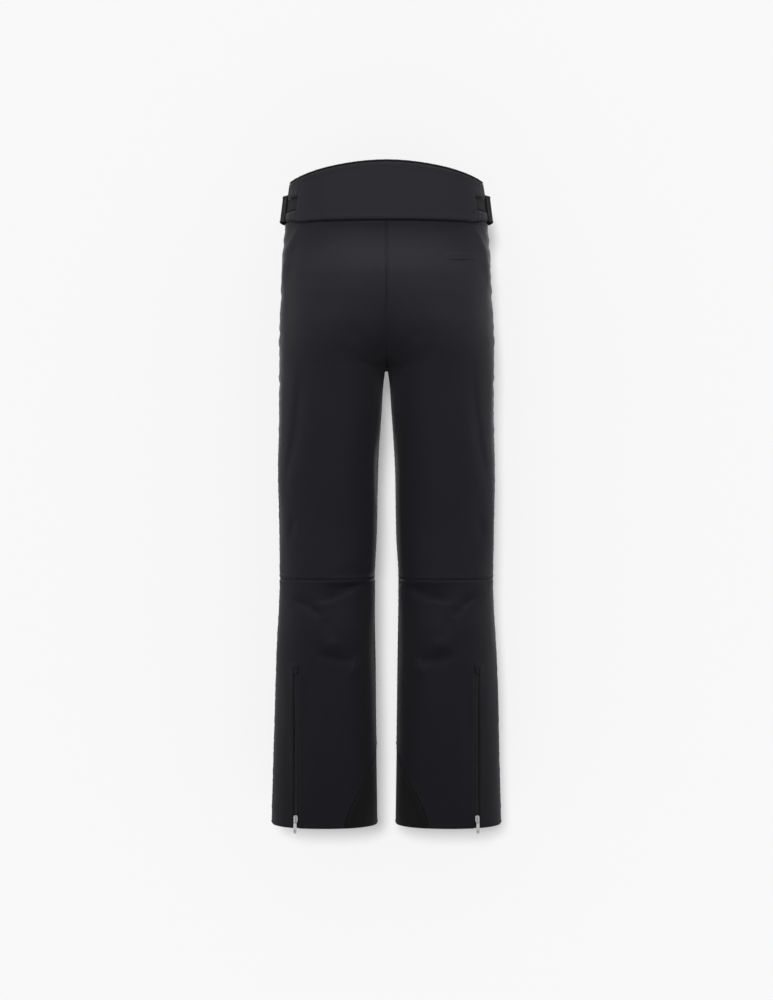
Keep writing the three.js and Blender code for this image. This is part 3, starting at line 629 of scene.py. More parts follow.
def stitch_along(body, route, normal, pitch=3.2, length=2.3, radius=0.3):
    """Adds a row of thread stitches along a route on the cloth."""
    run = lengths(route[None], 1)[0]
    count = int(run[-1] / pitch)
    if count < 2:
        return
    centre = (np.arange(count) + 0.5) * pitch

    def at(distance, values):
        return np.stack([np.interp(distance, run, values[:, k]) for k in range(3)], -1)
    ends = at(centre - length / 2, route), at(centre + length / 2, route)
    STITCHES.setdefault(body, []).append((*ends, at(centre, normal), radius))


def make_stitches():
    """One piece of thread for each body: a thin tapered rod for every stitch."""
    turns = np.arange(4) / 2 * np.pi + np.pi / 4
    pattern = [[4 * r + k, 4 * r + (k + 1) % 4, 4 * r + 4 + (k + 1) % 4, 4 * r + 4 + k]
               for r in range(3) for k in range(4)]
    pattern = np.array(pattern + [[3, 2, 1, 0], [12, 13, 14, 15]])
    for body, rows in STITCHES.items():
        points, faces, base = [], [], 0
        for a, b, n, radius in rows:
            along = unit(b - a)
            n = unit(n)
            cross = np.cross(along, n)
            rings = []
            for where, scale, lift in STITCH_RINGS:
                spot = a + (b - a) * where + n * lift
                rings.append(np.stack([spot + radius * scale * (math.cos(t) * cross + math.sin(t) * n)
                                       for t in turns], 1))
            points.append(np.stack(rings, 1).reshape(-1, 3))
            faces.append((pattern[None] + 16 * np.arange(len(a))[:, None, None]).reshape(-1, 4) + base)
            base += 16 * len(a)
        points, faces = np.concatenate(points), np.concatenate(faces)
        p = points[faces[0]]
        flip = np.dot(np.cross(p[1] - p[0], p[2] - p[0]), p[0] - points[:16].mean(0)) < 0
        obj = mesh_object(f"stitching_{body}", metres(points), faces[:, ::-1] if flip else faces, ["thread"],
                          uvs=points[:, [0, 2]] / 1000)
        finish_piece(obj, body, "shell")


# ---------------------------------------------------------------- folds in the cloth
# The line each fold runs on (x on the wearer's left, z), its height, and its width to the left and to
# the right of the line as it is followed.
HIP_FOLDS = [
    ([(144, 776), (152, 708), (159, 653), (168, 605), (172, 578)], -2.4, 5, 12),
    ([(157, 531), (163, 489)], -1.8, 5, 8),
    ([(146, 1016), (158, 1000), (176, 968)], 1.8, 5, 5),
    ([(152, 996), (166, 974), (180, 940)], 1.6, 5, 5),
    ([(160, 968), (172, 945), (181, 912)], 1.5, 6, 6),
    ([(20, 800), (38, 822), (62, 838)], -2.4, 9, 12),
    ([(12, 776), (36, 790), (66, 800), (92, 800)], -2.0, 10, 14),
    ([(30, 700), (34, 600), (40, 500)], -1.6, 18, 14),
]
CALF_FOLDS = {
    1: [
        ([(114, 384), (92, 392), (60, 406), (28, 417)], -11.0, 4, 24),
        ([(104, 350), (112, 361), (136, 376), (165, 391)], -4.5, 9, 4),
        ([(106, 356), (101, 334)], -3.0, 6, 6),
        ([(116, 304), (106, 292), (84, 286), (60, 284), (50, 292)], -6.0, 6, 13),
        ([(49, 292), (53, 278), (62, 256)], 4.0, 4, 6),
        ([(30, 417), (37, 340), (33, 290), (38, 225)], -3.4, 14, 14),
        ([(128, 268), (137, 210), (140, 150)], -1.6, 13, 13),
        ([(84, 262), (78, 180), (82, 100)], -1.3, 18, 18),
    ],
    -1: [
        ([(110, 384), (90, 388), (70, 391), (28, 406)], -10.5, 4, 22),
        ([(108, 352), (115, 361), (140, 384), (160, 395)], -4.5, 9, 4),
        ([(110, 356), (104, 334)], -3.0, 6, 6),
        ([(114, 304), (102, 290), (82, 284), (62, 284), (52, 292)], -6.0, 6, 13),
        ([(51, 292), (55, 280), (64, 256)], 4.0, 4, 6),
        ([(28, 406), (35, 340), (32, 290), (36, 225)], -3.4, 14, 14),
        ([(126, 264), (136, 208), (138, 150)], -1.6, 13, 13),
        ([(88, 250), (80, 180), (84, 104)], -1.3, 18, 18),
    ],
}
FRONT_FOLDS = [
    ([(14, 800), (44, 818), (84, 826)], -3.0, 9, 9),
    ([(10, 778), (40, 782), (90, 776)], -2.6, 12, 10),
    ([(24, 742), (60, 752), (100, 748)], -1.8, 12, 12),
    ([(50, 585), (90, 578), (130, 590)], -2.2, 12, 8),
    ([(60, 372), (100, 366), (140, 376)], -3.0, 12, 6),
    ([(50, 350), (84, 342), (118, 348)], -2.4, 12, 7),
    ([(110, 325), (104, 260), (108, 180)], -1.6, 18, 18),
    ([(60, 300), (66, 220), (62, 150)], 1.4, 16, 16),
    ([(150, 980), (166, 950), (178, 900)], 1.6, 7, 7),
]
# Fuller places below the back of the knee: centre, half-widths and height.
CALF_SWELLS = (((78, 338), (32, 24), 4.0), ((89, 311), (12, 12), 5.5), ((140, 346), (20, 22), 2.0))


def fold_relief(side, back, x, z):
    x = np.abs(x) + (6 if side < 0 and not back else 0)
    relief = np.zeros(x.shape)
    for line, height, left, right in (HIP_FOLDS + CALF_FOLDS[side] if back else FRONT_FOLDS):
        distance, where, turn = along_line(x, z, line)
        ends = smooth(-0.02, 0.3, where) * smooth(1.02, 0.7, where)
        relief += height * ridge(distance, np.where(turn > 0, left, right)) * (0.2 + 0.8 * ends)
    if back:
        for (at_x, at_z), (wide, tall), height in CALF_SWELLS:
            relief += height * ridge(np.hypot((x - at_x) / wide, (z - at_z) / tall), 1) * smooth(410, 395, z)
    return relief


def side_waves(z):
    """The side seams don't hang quite straight."""
    waves = 0.8 * np.sin(z * 0.171 + 2) * np.sin(z * 0.043 + 0.5) + 0.4 * np.sin(z * 0.29)
    return waves * (0.25 + 0.75 * smooth(620, 800, z))


DRIFT_WAVES = ((0.011, 0.021, 0.9), (0.027, 0.009, 0.6), (0.017, 0.043, 0.4), (0.047, 0.031, 0.25))


def drift(side, back, u, z):
    """Slow unevenness of hanging cloth. u is the way round the leg."""
    seed = (1.7 if side > 0 else 4.1) + (0 if back else 2.3)
    total = np.zeros(u.shape)
    for k, (fu, fz, size) in enumerate(DRIFT_WAVES):
        total += size * np.sin(fu * u * 2 + seed * (k + 1)) * np.sin(fz * z + seed * 1.3 * k + 0.02 * u)
    return total


def pucker(along, edge, size=0.3, pitch=9.0, reach=9.0):
    """Small gathers that a seam pulls into the cloth beside it."""
    wave = np.sin(2 * np.pi * along / pitch) + 0.6 * np.sin(2 * np.pi * along / (pitch * 1.63) + 1.3)
    return size * wave * smooth(0.5, 2.5, edge) * smooth(reach, 2.0, edge)


# ---------------------------------------------------------------- shell panels
def panel(name, side, back, share_knots, z_knots, holes=(), hard_shares=None, hard_rows=None, stitches=(),
          extra=None, step=3.6):
    """One cloth panel between seams. Share knots may depend on z, and z knots on the share."""
    middle_z = np.array([float(value(z, np.array(0.5))) for z in z_knots])
    shares = np.array([float(value(s, np.array(middle_z.mean()))) for s in share_knots])
    ruler = lengths(body_point(side, np.linspace(0, 1, 400), middle_z.mean(), 0, back)[None], 1)[0]
    zi, zf = knotted(np.diff(middle_z), step)
    si, sf = knotted(np.diff(np.interp(shares, np.linspace(0, 1, 400), ruler)), step)
    knots_z = np.stack([value(z, shares[si] + (shares[si + 1] - shares[si]) * sf) for z in z_knots])
    z = knots_z[zi] + (knots_z[zi + 1] - knots_z[zi]) * zf[:, None]
    knots_s = np.stack([value(s, z) for s in share_knots])
    pick = np.broadcast_to(si, z.shape)[None]
    low, high = np.take_along_axis(knots_s, pick, 0)[0], np.take_along_axis(knots_s, pick + 1, 0)[0]
    points = body_point(side, low + (high - low) * sf, z, 0, back)
    centre = leg_axis(side, z)
    across, up = lengths(points, 1), lengths(points, 0)
    relief = fold_relief(side, back, points[..., 0], z) + drift(side, back, across, z)
    columns, rows = knot_lines(si, sf, len(share_knots)), knot_lines(zi, zf, len(z_knots))
    side_gap, end_gap, slot_gap = (np.full(z.shape, 1e3) for _ in range(3))
    for k in (range(len(columns)) if hard_shares is None else hard_shares):
        side_gap = np.minimum(side_gap, np.abs(across - across[:, columns[k]][:, None]))
    for k in ((0, len(rows) - 1) if hard_rows is None else hard_rows):
        end_gap = np.minimum(end_gap, np.abs(up - up[rows[k]][None]))
    for hole_row, hole_column in holes:
        beyond = np.maximum(np.maximum(z - z[rows[hole_row + 1]][None], z[rows[hole_row]][None] - z), 0)
        for k in (hole_column, hole_column + 1):
            gap = np.abs(across - across[:, columns[k]][:, None])
            slot_gap = np.minimum(slot_gap, np.hypot(gap, beyond))
    edge = np.minimum(side_gap, end_gap)
    relief *= 0.25 + 0.75 * smooth(0, 14, np.minimum(edge, slot_gap))
    relief += 0.55 * ridge(edge - 4.5, 2.6) - 1.15 * ridge(edge, 1.7)
    relief += 0.5 * ridge(slot_gap - 4.0, 2.4) - 0.9 * ridge(slot_gap, 1.3)
    relief += pucker(z, side_gap) + pucker(across, end_gap)
    relief += side_waves(z) * ridge(across if across[0, 0] == 0 else across[:, -1:] - across, 24)
    if extra is not None:
        relief += extra(points[..., 0], z, side_gap, end_gap)
    sidelong = np.abs(grid_normals(points, points - centre)[..., 0])
    relief *= 1 - smooth(16, 3, np.abs(points[..., 0])) * smooth(0.02, 0.16, sidelong)
    keep = np.ones((len(zi) - 1, len(si) - 1), bool)
    for hole_row, hole_column in holes:
        keep[(zi[:-1] == hole_row)[:, None] & (si[:-1] == hole_column)[None]] = False
    obj, outer, normal = cloth_sheet(name, points, points - centre, relief, SHELL, keep, ["shell", "lining"])
    for kind, knot, distance, start, end in stitches:
        if kind == "share":
            r, c = np.arange(z.shape[0]), places_at(across, across[:, columns[knot]] + distance)
        else:
            r, c = places_at(up.T, up[rows[knot]] + distance), np.arange(z.shape[1])
        route, facing = sample(outer, r, c), sample(normal, r, c)
        inside = (route[:, 2] >= start) & (route[:, 2] <= end)
        if inside.sum() > 2:
            stitch_along(ROOT, route[inside], facing[inside])
    declare(points)
    return finish_piece(obj, ROOT, "shell", name)


SLOT_HALF = 4.6
POCKET_SLOT_HALF = 5.2
ALL = (-50, 2000)


def slot_edge(centre, sign, back, half=SLOT_HALF):
    def share(z):
        middle = centre(z)
        return middle + sign * half * share_per_mm(middle, z, back)
    return share


def fly_edge(z):
    return 1 - SLOT_HALF * share_per_mm(0.97 + 0 * z, z, False)


def bar_tacks(x, z, side_gap, end_gap):
    """The bar tacks that close the seat seam just above the fork."""
    return ridge(np.abs(x), 7) * sum(-0.9 * ridge(z - height, 1.6) for height in (786, 791, 796))


def leg_panels(label, side):
    centre_row = [("share", 1, -7.5, 790, 1020)] if side < 0 else []
    panel(f"back_panel_{label}", side, True, [0.0, 1.0], [KNEE_SEAM_BACK, lambda s: waist_seam(s, True)],
          stitches=centre_row + [("row", 0, 6.0, *ALL)], extra=bar_tacks)
    fly_rows = [("share", 4, -34.0, FLY_LOW + 18, 1024)] if side > 0 else []
    panel(f"front_panel_{label}", side, False,
          [0.0, slot_edge(pocket_share, -1, False, POCKET_SLOT_HALF),
           slot_edge(pocket_share, 1, False, POCKET_SLOT_HALF), fly_edge, 1.0],
          [KNEE_TOP_FRONT, POCKET_LOW[1], FLY_LOW, POCKET_TOP[1], lambda s: waist_seam(s, False)],
          holes=[(1, 1), (2, 1), (2, 3), (3, 3)], hard_shares=[0, 4], hard_rows=[0, 4],
          stitches=fly_rows + [("row", 0, 5.0, *ALL), ("share", 1, -2.6, POCKET_LOW[1], POCKET_TOP[1]),
                               ("share", 2, 2.6, POCKET_LOW[1], POCKET_TOP[1])])
    panel(f"knee_panel_{label}", side, False, [0.0, 1.0], [KNEE_BOTTOM_FRONT, KNEE_TOP_FRONT],
          stitches=[("row", 0, 5.0, *ALL), ("row", 1, -5.0, *ALL)])
    panel(f"shin_panel_{label}", side, False, [0.0, kick_share, 1.0], [0.0, 133.0, KNEE_BOTTOM_FRONT],
          holes=[(0, 1)], hard_shares=[0, 2], hard_rows=[0, 2],
          stitches=[("row", 2, -5.0, *ALL), ("share", 1, -3.0, 18, 133)])
    panel(f"calf_panel_{label}", side, True,
          [0.0, slot_edge(cuff_share, -1, True), slot_edge(cuff_share, 1, True), kick_share, 1.0],
          [0.0, 133.0, CUFF_ZIP_TOP, KNEE_SEAM_BACK], holes=[(0, 1), (1, 1), (0, 3)], hard_shares=[0, 4],
          hard_rows=[0, 3],
          stitches=[("share", 1, -2.6, 2, CUFF_ZIP_TOP), ("share", 2, 2.6, 2, CUFF_ZIP_TOP),
                    ("share", 3, -3.0, 18, 133)])


def grid_piece(name, points, outward, thickness, materials, relief=None, body=ROOT, slot="shell", held=None,
               rolled=True, node=None):
    """A piece of cloth on a plain grid of points."""
    gap = edge_gap(points)
    relief = np.zeros(gap.shape) if relief is None else relief
    keep = np.ones((points.shape[0] - 1, points.shape[1] - 1), bool)
    obj, outer, normal = cloth_sheet(name, points, outward, relief, thickness, keep, materials,
                                     gap if rolled else None)
    if held:
        declare(points)
    return finish_piece(obj, body, slot, name if node is None else node), outer, normal


def rim_stitch(outer, normal, gap, body, sides="all", pitch=3.2):
    """A row of stitches just inside the edges of a grid piece."""
    rows, columns = outer.shape[:2]
    up, across = lengths(outer, 0), lengths(outer, 1)
    if sides in ("all", "ends"):
        for column, sign in ((0, 1), (columns - 1, -1)):
            c = places_at(across, across[:, column] + sign * gap)
            inside = (up[:, 0] > gap) & (up[:, 0] < up[-1, 0] - gap)
            route, facing = sample(outer, np.arange(rows), c), sample(normal, np.arange(rows), c)
            stitch_along(body, route[inside], facing[inside], pitch)
    if sides in ("all", "long"):
        for row, sign in ((0, 1), (rows - 1, -1)):
            r = places_at(up.T, up[row] + sign * gap)
            inside = (across[0] > gap) & (across[0] < across[0, -1] - gap)
            route, facing = sample(outer, r, np.arange(columns)), sample(normal, r, np.arange(columns))
            stitch_along(body, route[inside], facing[inside], pitch)


def kick_panel(label, side):
    z = marks(132.2, 2.6) * 132.2
    t = marks(2.0 * 95, 2.6) * 2 - 1
    tt, zz = np.meshgrid(t, z)
    share = 1 - np.abs(tt) * (1 - kick_share(zz))
    front = body_point(side, share, zz, 0, False)
    back = body_point(side, share, zz, 0, True)
    points = np.where((tt < 0)[..., None], back, front)
    gap = edge_gap(points)
    relief = -0.5 * ridge(gap, 1.6) + 0.35 * ridge(gap - 4, 2) + pucker(zz, gap, 0.2)
    _, outer, normal = grid_piece(f"kick_panel_{label}", points, points - leg_axis(side, zz), 1.8,
                                  ["kick", "lining"], relief, slot="kick", held="hung", rolled=False)
    rim_stitch(outer, normal, 3.0, ROOT)
    rim_stitch(outer, normal, 6.5, ROOT, "ends")


# ---------------------------------------------------------------- waistband
RING = np.linspace(-180, 180, 7201)


def ring_point(angle, z, offset):
    """Point on the waist's plan: 0 is the wearer's left, 90 the back, 180 the right and -90 the front."""
    angle = np.asarray(angle, float)
    past = np.abs(angle) > 90
    folded = np.where(past, np.sign(angle) * (180 - np.abs(angle)), angle)
    return waist_point(np.where(past, -1, 1), folded, z, offset)


RING_MM = lengths(ring_point(RING, WAIST_SEAM_SIDE, 0)[None], 1)[0]
STRAP_Z = (1047, 1067)
YOKE_SLOT = (1045, 1069)
YOKE_END = 15
YOKE_SLOT_BACK = 40
SEAM_HOLD = 4.5
FILL_PRESSURE = 1.6
FILL_CAP = 0.0035


def mirrored(angle):
    return np.where(np.abs(angle) > 90, 180 - np.abs(angle), np.abs(angle))


def band(name, side, angles, levels, offset, thickness, materials, skip=(), relief=None, body=ROOT,
         slot="shell", held=None, step=3.0, rolled=True, node=None):
    """A band round the waist between angles, with heights that may depend on the angle. side 0 runs
    across the centre back."""
    def place(angle, z, out):
        return ring_point(angle, z, out) if side == 0 else waist_point(side, angle, z, out)
    arc = np.interp(angles, RING, RING_MM)
    ai, af = knotted(np.abs(np.diff(arc)), step)
    angle = np.interp(arc[ai] + (arc[ai + 1] - arc[ai]) * af, RING_MM, RING)
    heights = np.stack([value(level, angle) for level in levels])
    zi, zf = knotted(np.diff(heights, axis=0).mean(1), step)
    z = heights[zi] + (heights[zi + 1] - heights[zi]) * zf[:, None]
    grid = np.broadcast_to(angle, z.shape)
    out = value(offset, grid)
    points = place(grid, z, out)
    outward = place(grid, z, out + 1) - points
    keep = np.ones((len(zi) - 1, len(ai) - 1), bool)
    gap = edge_gap(points)
    columns, rows = knot_lines(ai, af, len(angles)), knot_lines(zi, zf, len(levels))
    across = lengths(points, 1)
    for row, column in skip:
        keep[(zi[:-1] == row)[:, None] & (ai[:-1] == column)[None]] = False
        beyond = np.maximum(np.maximum(z - z[rows[row + 1]][None], z[rows[row]][None] - z), 0)
        start, end = across[:, columns[column]][:, None], across[:, columns[column + 1]][:, None]
        gap = np.minimum(gap, np.hypot(np.maximum(np.maximum(start - across, across - end), 0), beyond))
    shape = np.zeros(z.shape) if relief is None else relief(points, z, grid, gap)
    obj, outer, normal = cloth_sheet(name, points, outward, shape, thickness, keep, materials,
                                     gap if rolled else None)
    if held:
        declare(points)
    finish_piece(obj, body, slot, name if node is None else node)
    return obj, outer, normal, gap


def fill_out(obj, still, pressure, cap, frames=14):
    """Lets a closed piece swell like padding where still is false, and keeps the shape it takes."""
    mesh = obj.data
    start = np.empty(len(mesh.vertices) * 3)
    mesh.vertices.foreach_get("co", start)
    group = obj.vertex_groups.new(name="still")
    group.add(np.nonzero(still)[0].tolist(), 1.0, "REPLACE")
    cloth = obj.modifiers.new("filling", "CLOTH")
    settings = cloth.settings
    settings.quality = 6
    settings.mass = 0.15
    settings.tension_stiffness = 18
    settings.compression_stiffness = 18
    settings.shear_stiffness = 8
    settings.bending_stiffness = 0.6
    settings.vertex_group_mass = "still"
    settings.use_pressure = True
    settings.uniform_pressure_force = pressure
    settings.effector_weights.gravity = 0
    cloth.point_cache.frame_start = 1
    cloth.point_cache.frame_end = frames
    scene = bpy.context.scene
    for number in range(1, frames + 1):
        scene.frame_set(number)
    shaped = obj.evaluated_get(bpy.context.evaluated_depsgraph_get()).to_mesh()
    end = np.empty_like(start)
    shaped.vertices.foreach_get("co", end)
    obj.evaluated_get(bpy.context.evaluated_depsgraph_get()).to_mesh_clear()
    obj.modifiers.remove(cloth)
    obj.vertex_groups.remove(group)
    scene.frame_set(1)
    move = (end - start).reshape(-1, 3)
    size = np.linalg.norm(move, axis=1, keepdims=True)
    move *= np.tanh(size / cap) * cap / (size + 1e-12)
    mesh.vertices.foreach_set("co", (start.reshape(-1, 3) + move).ravel())
    mesh.update()


def binding(name, place, first, last, height, offset, half_wide, half_tall):
    """A bound edge along the waist's top, gathered a little by its stitches."""
    def puckered(run, turn):
        return 1 + 0.05 * np.sin(run * 2 * np.pi / 6.5) + 0.03 * np.sin(run * 2 * np.pi / 17 + turn)
    start, end = np.interp([first, last], RING, RING_MM)
    angle = np.interp(np.arange(start, end, math.copysign(1.6, end - start)), RING_MM, RING)
    away = place(angle, SIDE_TOP, 2) - place(angle, SIDE_TOP, 0)
    strip = sweep(place(angle, height(angle), offset), away, half_wide, half_tall, swell=puckered)
    solid(name, [strip], "webbing", ROOT, "webbing")


def waistbands():
    def bottom(angle):
        return waist_seam(arc_share(mirrored(angle)), True) + 0.4

    def top(angle):
        return back_top(mirrored(angle)) - 3.4

    def quilted(points, z, angle, gap):
        along = lengths(points, 1)
        return 0.5 * ridge(gap - 5, 3.0) + pucker(along, gap, 0.28, 11, 16) - 0.35 * ridge(gap, 1.5)
    yoke, outer, normal, gap = band(
        "back_waistband", 0, [YOKE_END, YOKE_SLOT_BACK, 180 - YOKE_SLOT_BACK, 180 - YOKE_END],
        [bottom, *YOKE_SLOT, top], 4.6, 2.2, ["shell", "lining"], skip=[(1, 0), (1, 2)], relief=quilted)
    coordinates = np.empty(len(yoke.data.vertices) * 3)
    yoke.data.vertices.foreach_get("co", coordinates)
    middle = {tuple(np.round(p, 5)) for p in metres(outer)[gap > SEAM_HOLD]}
    still = np.array([tuple(np.round(p, 5)) not in middle for p in coordinates.reshape(-1, 3)])
    fill_out(yoke, still, FILL_PRESSURE, FILL_CAP)
    rim_stitch(outer, normal, 3.4, ROOT)

    binding("back_waistband_binding", ring_point, YOKE_END, 180 - YOKE_END,
            lambda a: back_top(mirrored(a)) - 1.7, 1.15, 3.6, 1.9)
    band("back_waistband_facing", 0, [70.5, 109.5], [WAIST_SEAM_BACK + 0.4, top], -0.1, 2.2, ["lining"],
         relief=lambda p, z, a, g: 0.25 * np.sin(z * 0.5) * smooth(0, 6, g), slot="lining", held="stretched")
    band("back_elastic", 0, [71, 109], STRAP_Z, 1.8, 1.2, ["elastic"],
         relief=lambda p, z, a, g: 0.12 * np.sin(lengths(p, 1) * 2), slot="elastic", held="stretched")
    for label, side in (("left", 1), ("right", -1)):
        def low(angle):
            share = arc_share(np.abs(angle))
            return np.where(angle > 0, waist_seam(share, True), waist_seam(share, False)) + 0.4

        def pressed(points, z, angle, gap):
            seam = 0.5 * ridge(gap - 5, 3) + pucker(lengths(points, 1), gap, 0.25, 10, 14) - 0.3
            return np.minimum(0, seam) * smooth(0, 1, -angle)
        band(f"waist_seam_tape_{label}", side, [90, -60], [lambda a: low(a) - 6, lambda a: low(a) + 5], -2.8,
             0.7, ["lining"], slot="lining", held="hung", rolled=False, node="")
        _, outer, normal, _ = band(
            f"front_waistband_{label}", side, [70, -89.95], [low, lambda a: front_top(a) - 3.4], 0, 2.5,
            ["shell", "lining"], held="stretched", relief=pressed)
        rim_stitch(outer, normal, 3.4, ROOT, "long")
        binding(f"front_waistband_binding_{label}", partial(waist_point, side), 14, -89.9,
                lambda a: front_top(a) - 1.6, -1.05, 1.6, 1.7)


TAB_BACK = 11
TAB_FRONT = -45
TAB_Z = (1031, 1077)
TAB_LIFT = 5.4
TAB_ARCH = 6.4


def adjusters():
    for label, side in (("left", 1), ("right", -1)):
        body = f"adjuster_{label}"
        band(f"adjuster_strap_{label}", side, [70, -5], STRAP_Z, 1.7, 1.1, ["webbing"], body=body,
             slot="webbing", step=2.4,
             relief=lambda p, z, a, g: 0.16 * np.abs(np.sin(np.pi * (z - STRAP_Z[0]) / 2.5)) - 0.1)

        def lift(angle):
            return TAB_LIFT + TAB_ARCH * smooth(TAB_BACK, 0, angle) * smooth(-29, -14, angle)

        def moulded(p, z, a, g):
            rim = 0.35 * smooth(1.2, 2.0, g) * smooth(3.6, 2.8, g)
            weave = 0.1 * np.sin(z * 2.1) * np.sin(lengths(p, 1) * 2.1) * smooth(3.4, 4.4, g)
            return rim + weave - 0.3 * smooth(2.8, 4.0, g)
        _, outer, normal, _ = band(
            f"adjuster_tab_{label}", side, [TAB_BACK, TAB_FRONT],
            [lambda a: TAB_Z[0] + 4 * smooth(-36, -46, a), lambda a: TAB_Z[1] - 4 * smooth(-36, -46, a)],
            lift, 2.9, ["hook_loop"], body=body, slot="hook_loop", step=1.6, relief=moulded)
        rim_stitch(outer, normal, 4.6, body, pitch=2.6)

        def fuzzy(p, z, a, g):
            along = lengths(p, 1)
            return 0.14 * (np.sin(along * 4.1 + 3 * np.sin(z * 0.7))
                           * np.sin(z * 3.7 + 2 * np.sin(along * 0.5)))
        band(f"adjuster_patch_{label}", side, [-23, -72],
             [1037, lambda a: np.minimum(1070, front_top(a) - 6)], 1.4, 1.1, ["hook_loop"],
             slot="hook_loop", step=0.9, relief=fuzzy)


# ---------------------------------------------------------------- zips
COIL_COLUMNS = (-10, -8, -6, -5, -4.3, -3.8, -3.3, -2.9, -2.4, -1.6, -0.8, -0.35, -0.12, 0.12, 0.35, 0.8, 1.6,
                2.4, 2.9, 3.3, 3.8, 4.3, 5, 6, 8, 10)


def zip_strip(name, length, place, straight, tape_level, teeth, coil_level=-1.15, pitch=1.6):
    """Tape and coil of a zip. place(across, along, height) puts them on the garment; straight is the
    frame its slider moves in, and nothing rises above its own height there."""
    v = np.arange(0, length, 0.4)
    u, v = np.meshgrid(np.array(COIL_COLUMNS, float), v)
    inside = smooth(4.1, 3.1, np.abs(u))
    crown = coil_level + 0.45 * (1 - np.clip(np.abs(u) / 3.3, 0, 1) ** 2)
    height = tape_level + (crown - tape_level) * inside - 0.55 * ridge(u, 0.2) * inside
    phase = 2 * np.pi * v / pitch + np.where(u < 0, np.pi, 0)
    height += teeth * np.cos(phase) * smooth(2.9, 2.3, np.abs(u)) * smooth(0.05, 0.3, np.abs(u))
    height += 0.05 * np.sin(2 * np.pi * v / 0.9) * smooth(3.6, 4.4, np.abs(u))
    points = place(u, v, height)
    outward = place(u, v, height + 1) - points
    up = straight((0, 0, 1)) - straight((0, 0, 0))
    rise = (points - straight((0, 0, 0))) @ up - height
    points -= (np.clip(rise, 0, 2) * smooth(9, 5, np.abs(u)))[..., None] * up
    grid_piece(name, points, outward, 0.7, ["zip_tape"], slot="zip_tape", rolled=False)


SHIELD = rounded([(-4, 6.5), (-4, 0), (-2.7, -6.5), (2.7, -6.5), (4, 0), (4, 6.5)])
BAR_LIFT = 2.9


def slider_and_puller(label, place, at, length):
    """place puts local points on the garment; the slider sits at that height and carries its puller."""
    def here(points):
        return place(points, (0, at, 0))
    plate = turned(SHIELD, [(0.2, 1.75), (0.72, 1.75), (0.84, 1.65), (0.95, 1.4), (1, 1.0), (1, 0.1),
                            (0.95, -0.2), (0.2, -0.2)])
    arch = curve_through([(0, -3.3, 0.9), (0, -3.5, 3.1), (0, -3.0, 4.3), (0, -1.6, 4.85), (0, 1.6, 4.85),
                          (0, 3.0, 4.3), (0, 3.5, 3.1), (0, 3.3, 0.9)], 40)
    bridge = sweep(arch, np.tile((1.0, 0, 0), (40, 1)), 1.15, 0.5, power=3)
    rails = [sweep(np.linspace((x, 5.4, 1.6), (x * 0.74, -5.4, 1.6), 14), np.tile((1.0, 0, 0), (14, 1)),
                   0.5, 0.55) for x in (-2.9, 2.9)]
    solid(f"{label}_slider", [plate, bridge, *rails], "zip_metal", f"{label}_slider_body", "zip_metal",
          here)

    def hung(points):
        return place(points, (0, at, BAR_LIFT))
    eye = curve_through([(-2.2, -7.2, 0), (-2.25, -3, 0), (-2.2, -0.9, 0), (-1.5, -0.05, 0), (1.5, -0.05, 0),
                         (2.2, -0.9, 0), (2.25, -3, 0), (2.2, -7.2, 0)], 44)
    loop = sweep(eye, np.tile((0, 0, 1.0), (44, 1)), 0.55, 0.55, power=2.2)
    outline = rounded([(-2.6, -5.6), (-3.1, -8.5), (-3.1, 1.5 - length), (-2.2, -length), (2.2, -length),
                       (3.1, 1.5 - length), (3.1, -8.5), (2.6, -5.6)])
    tab = turned(outline, [(0.15, 0.2), (0.6, 0.2), (0.68, 0.55), (0.9, 0.6), (0.97, 0.5), (1, 0.25),
                           (1, -0.25), (0.97, -0.5), (0.9, -0.6), (0.68, -0.55), (0.6, -0.2), (0.15, -0.2)])
    solid(f"{label}_puller", [loop, tab], "zip_metal", f"{label}_puller_body", "zip_metal", hung)


def on_shell(side, x, z, back):
    return body_point(side, share_at_x(x, z, back), np.asarray(float(z)), 0, back)


def outward_at(side, x, z, back):
    along = on_shell(side, x + 1, z, back) - on_shell(side, x - 1, z, back)
    away = unit(np.array([along[1], -along[0], 0.0]))
    return away if np.sign(away[1]) == (1 if back else -1) else -away


def body_sheet(name, side, back, low, high, z_range, offset, thickness):
    """A lining that follows the shell at an offset, between two shares and two heights."""
    z = z_range[0] + marks(z_range[1] - z_range[0], 4) * (z_range[1] - z_range[0])
    t, zz = np.meshgrid(marks(60, 4), z)
    first, last = value(low, zz), value(high, zz)
    share = first + (last - first) * t
    points = body_point(side, share, zz, offset, back)
    outward = body_point(side, share, zz, offset + 1, back) - points
    shape = 1.2 * np.sin(zz * 0.06 + points[..., 0] * 0.05) * smooth(0, 14, edge_gap(points))
    grid_piece(name, points, outward, thickness, ["lining"], shape, slot="lining", held="hung")


GARAGE = rounded([(-6.2, 13), (6.2, 13), (3.2, 1), (2.6, -4), (0, -5), (-2.6, -4), (-3.2, 1)])
CUFF_SLIDER_AT = 15
BACK_POCKET_X = (150, 100)


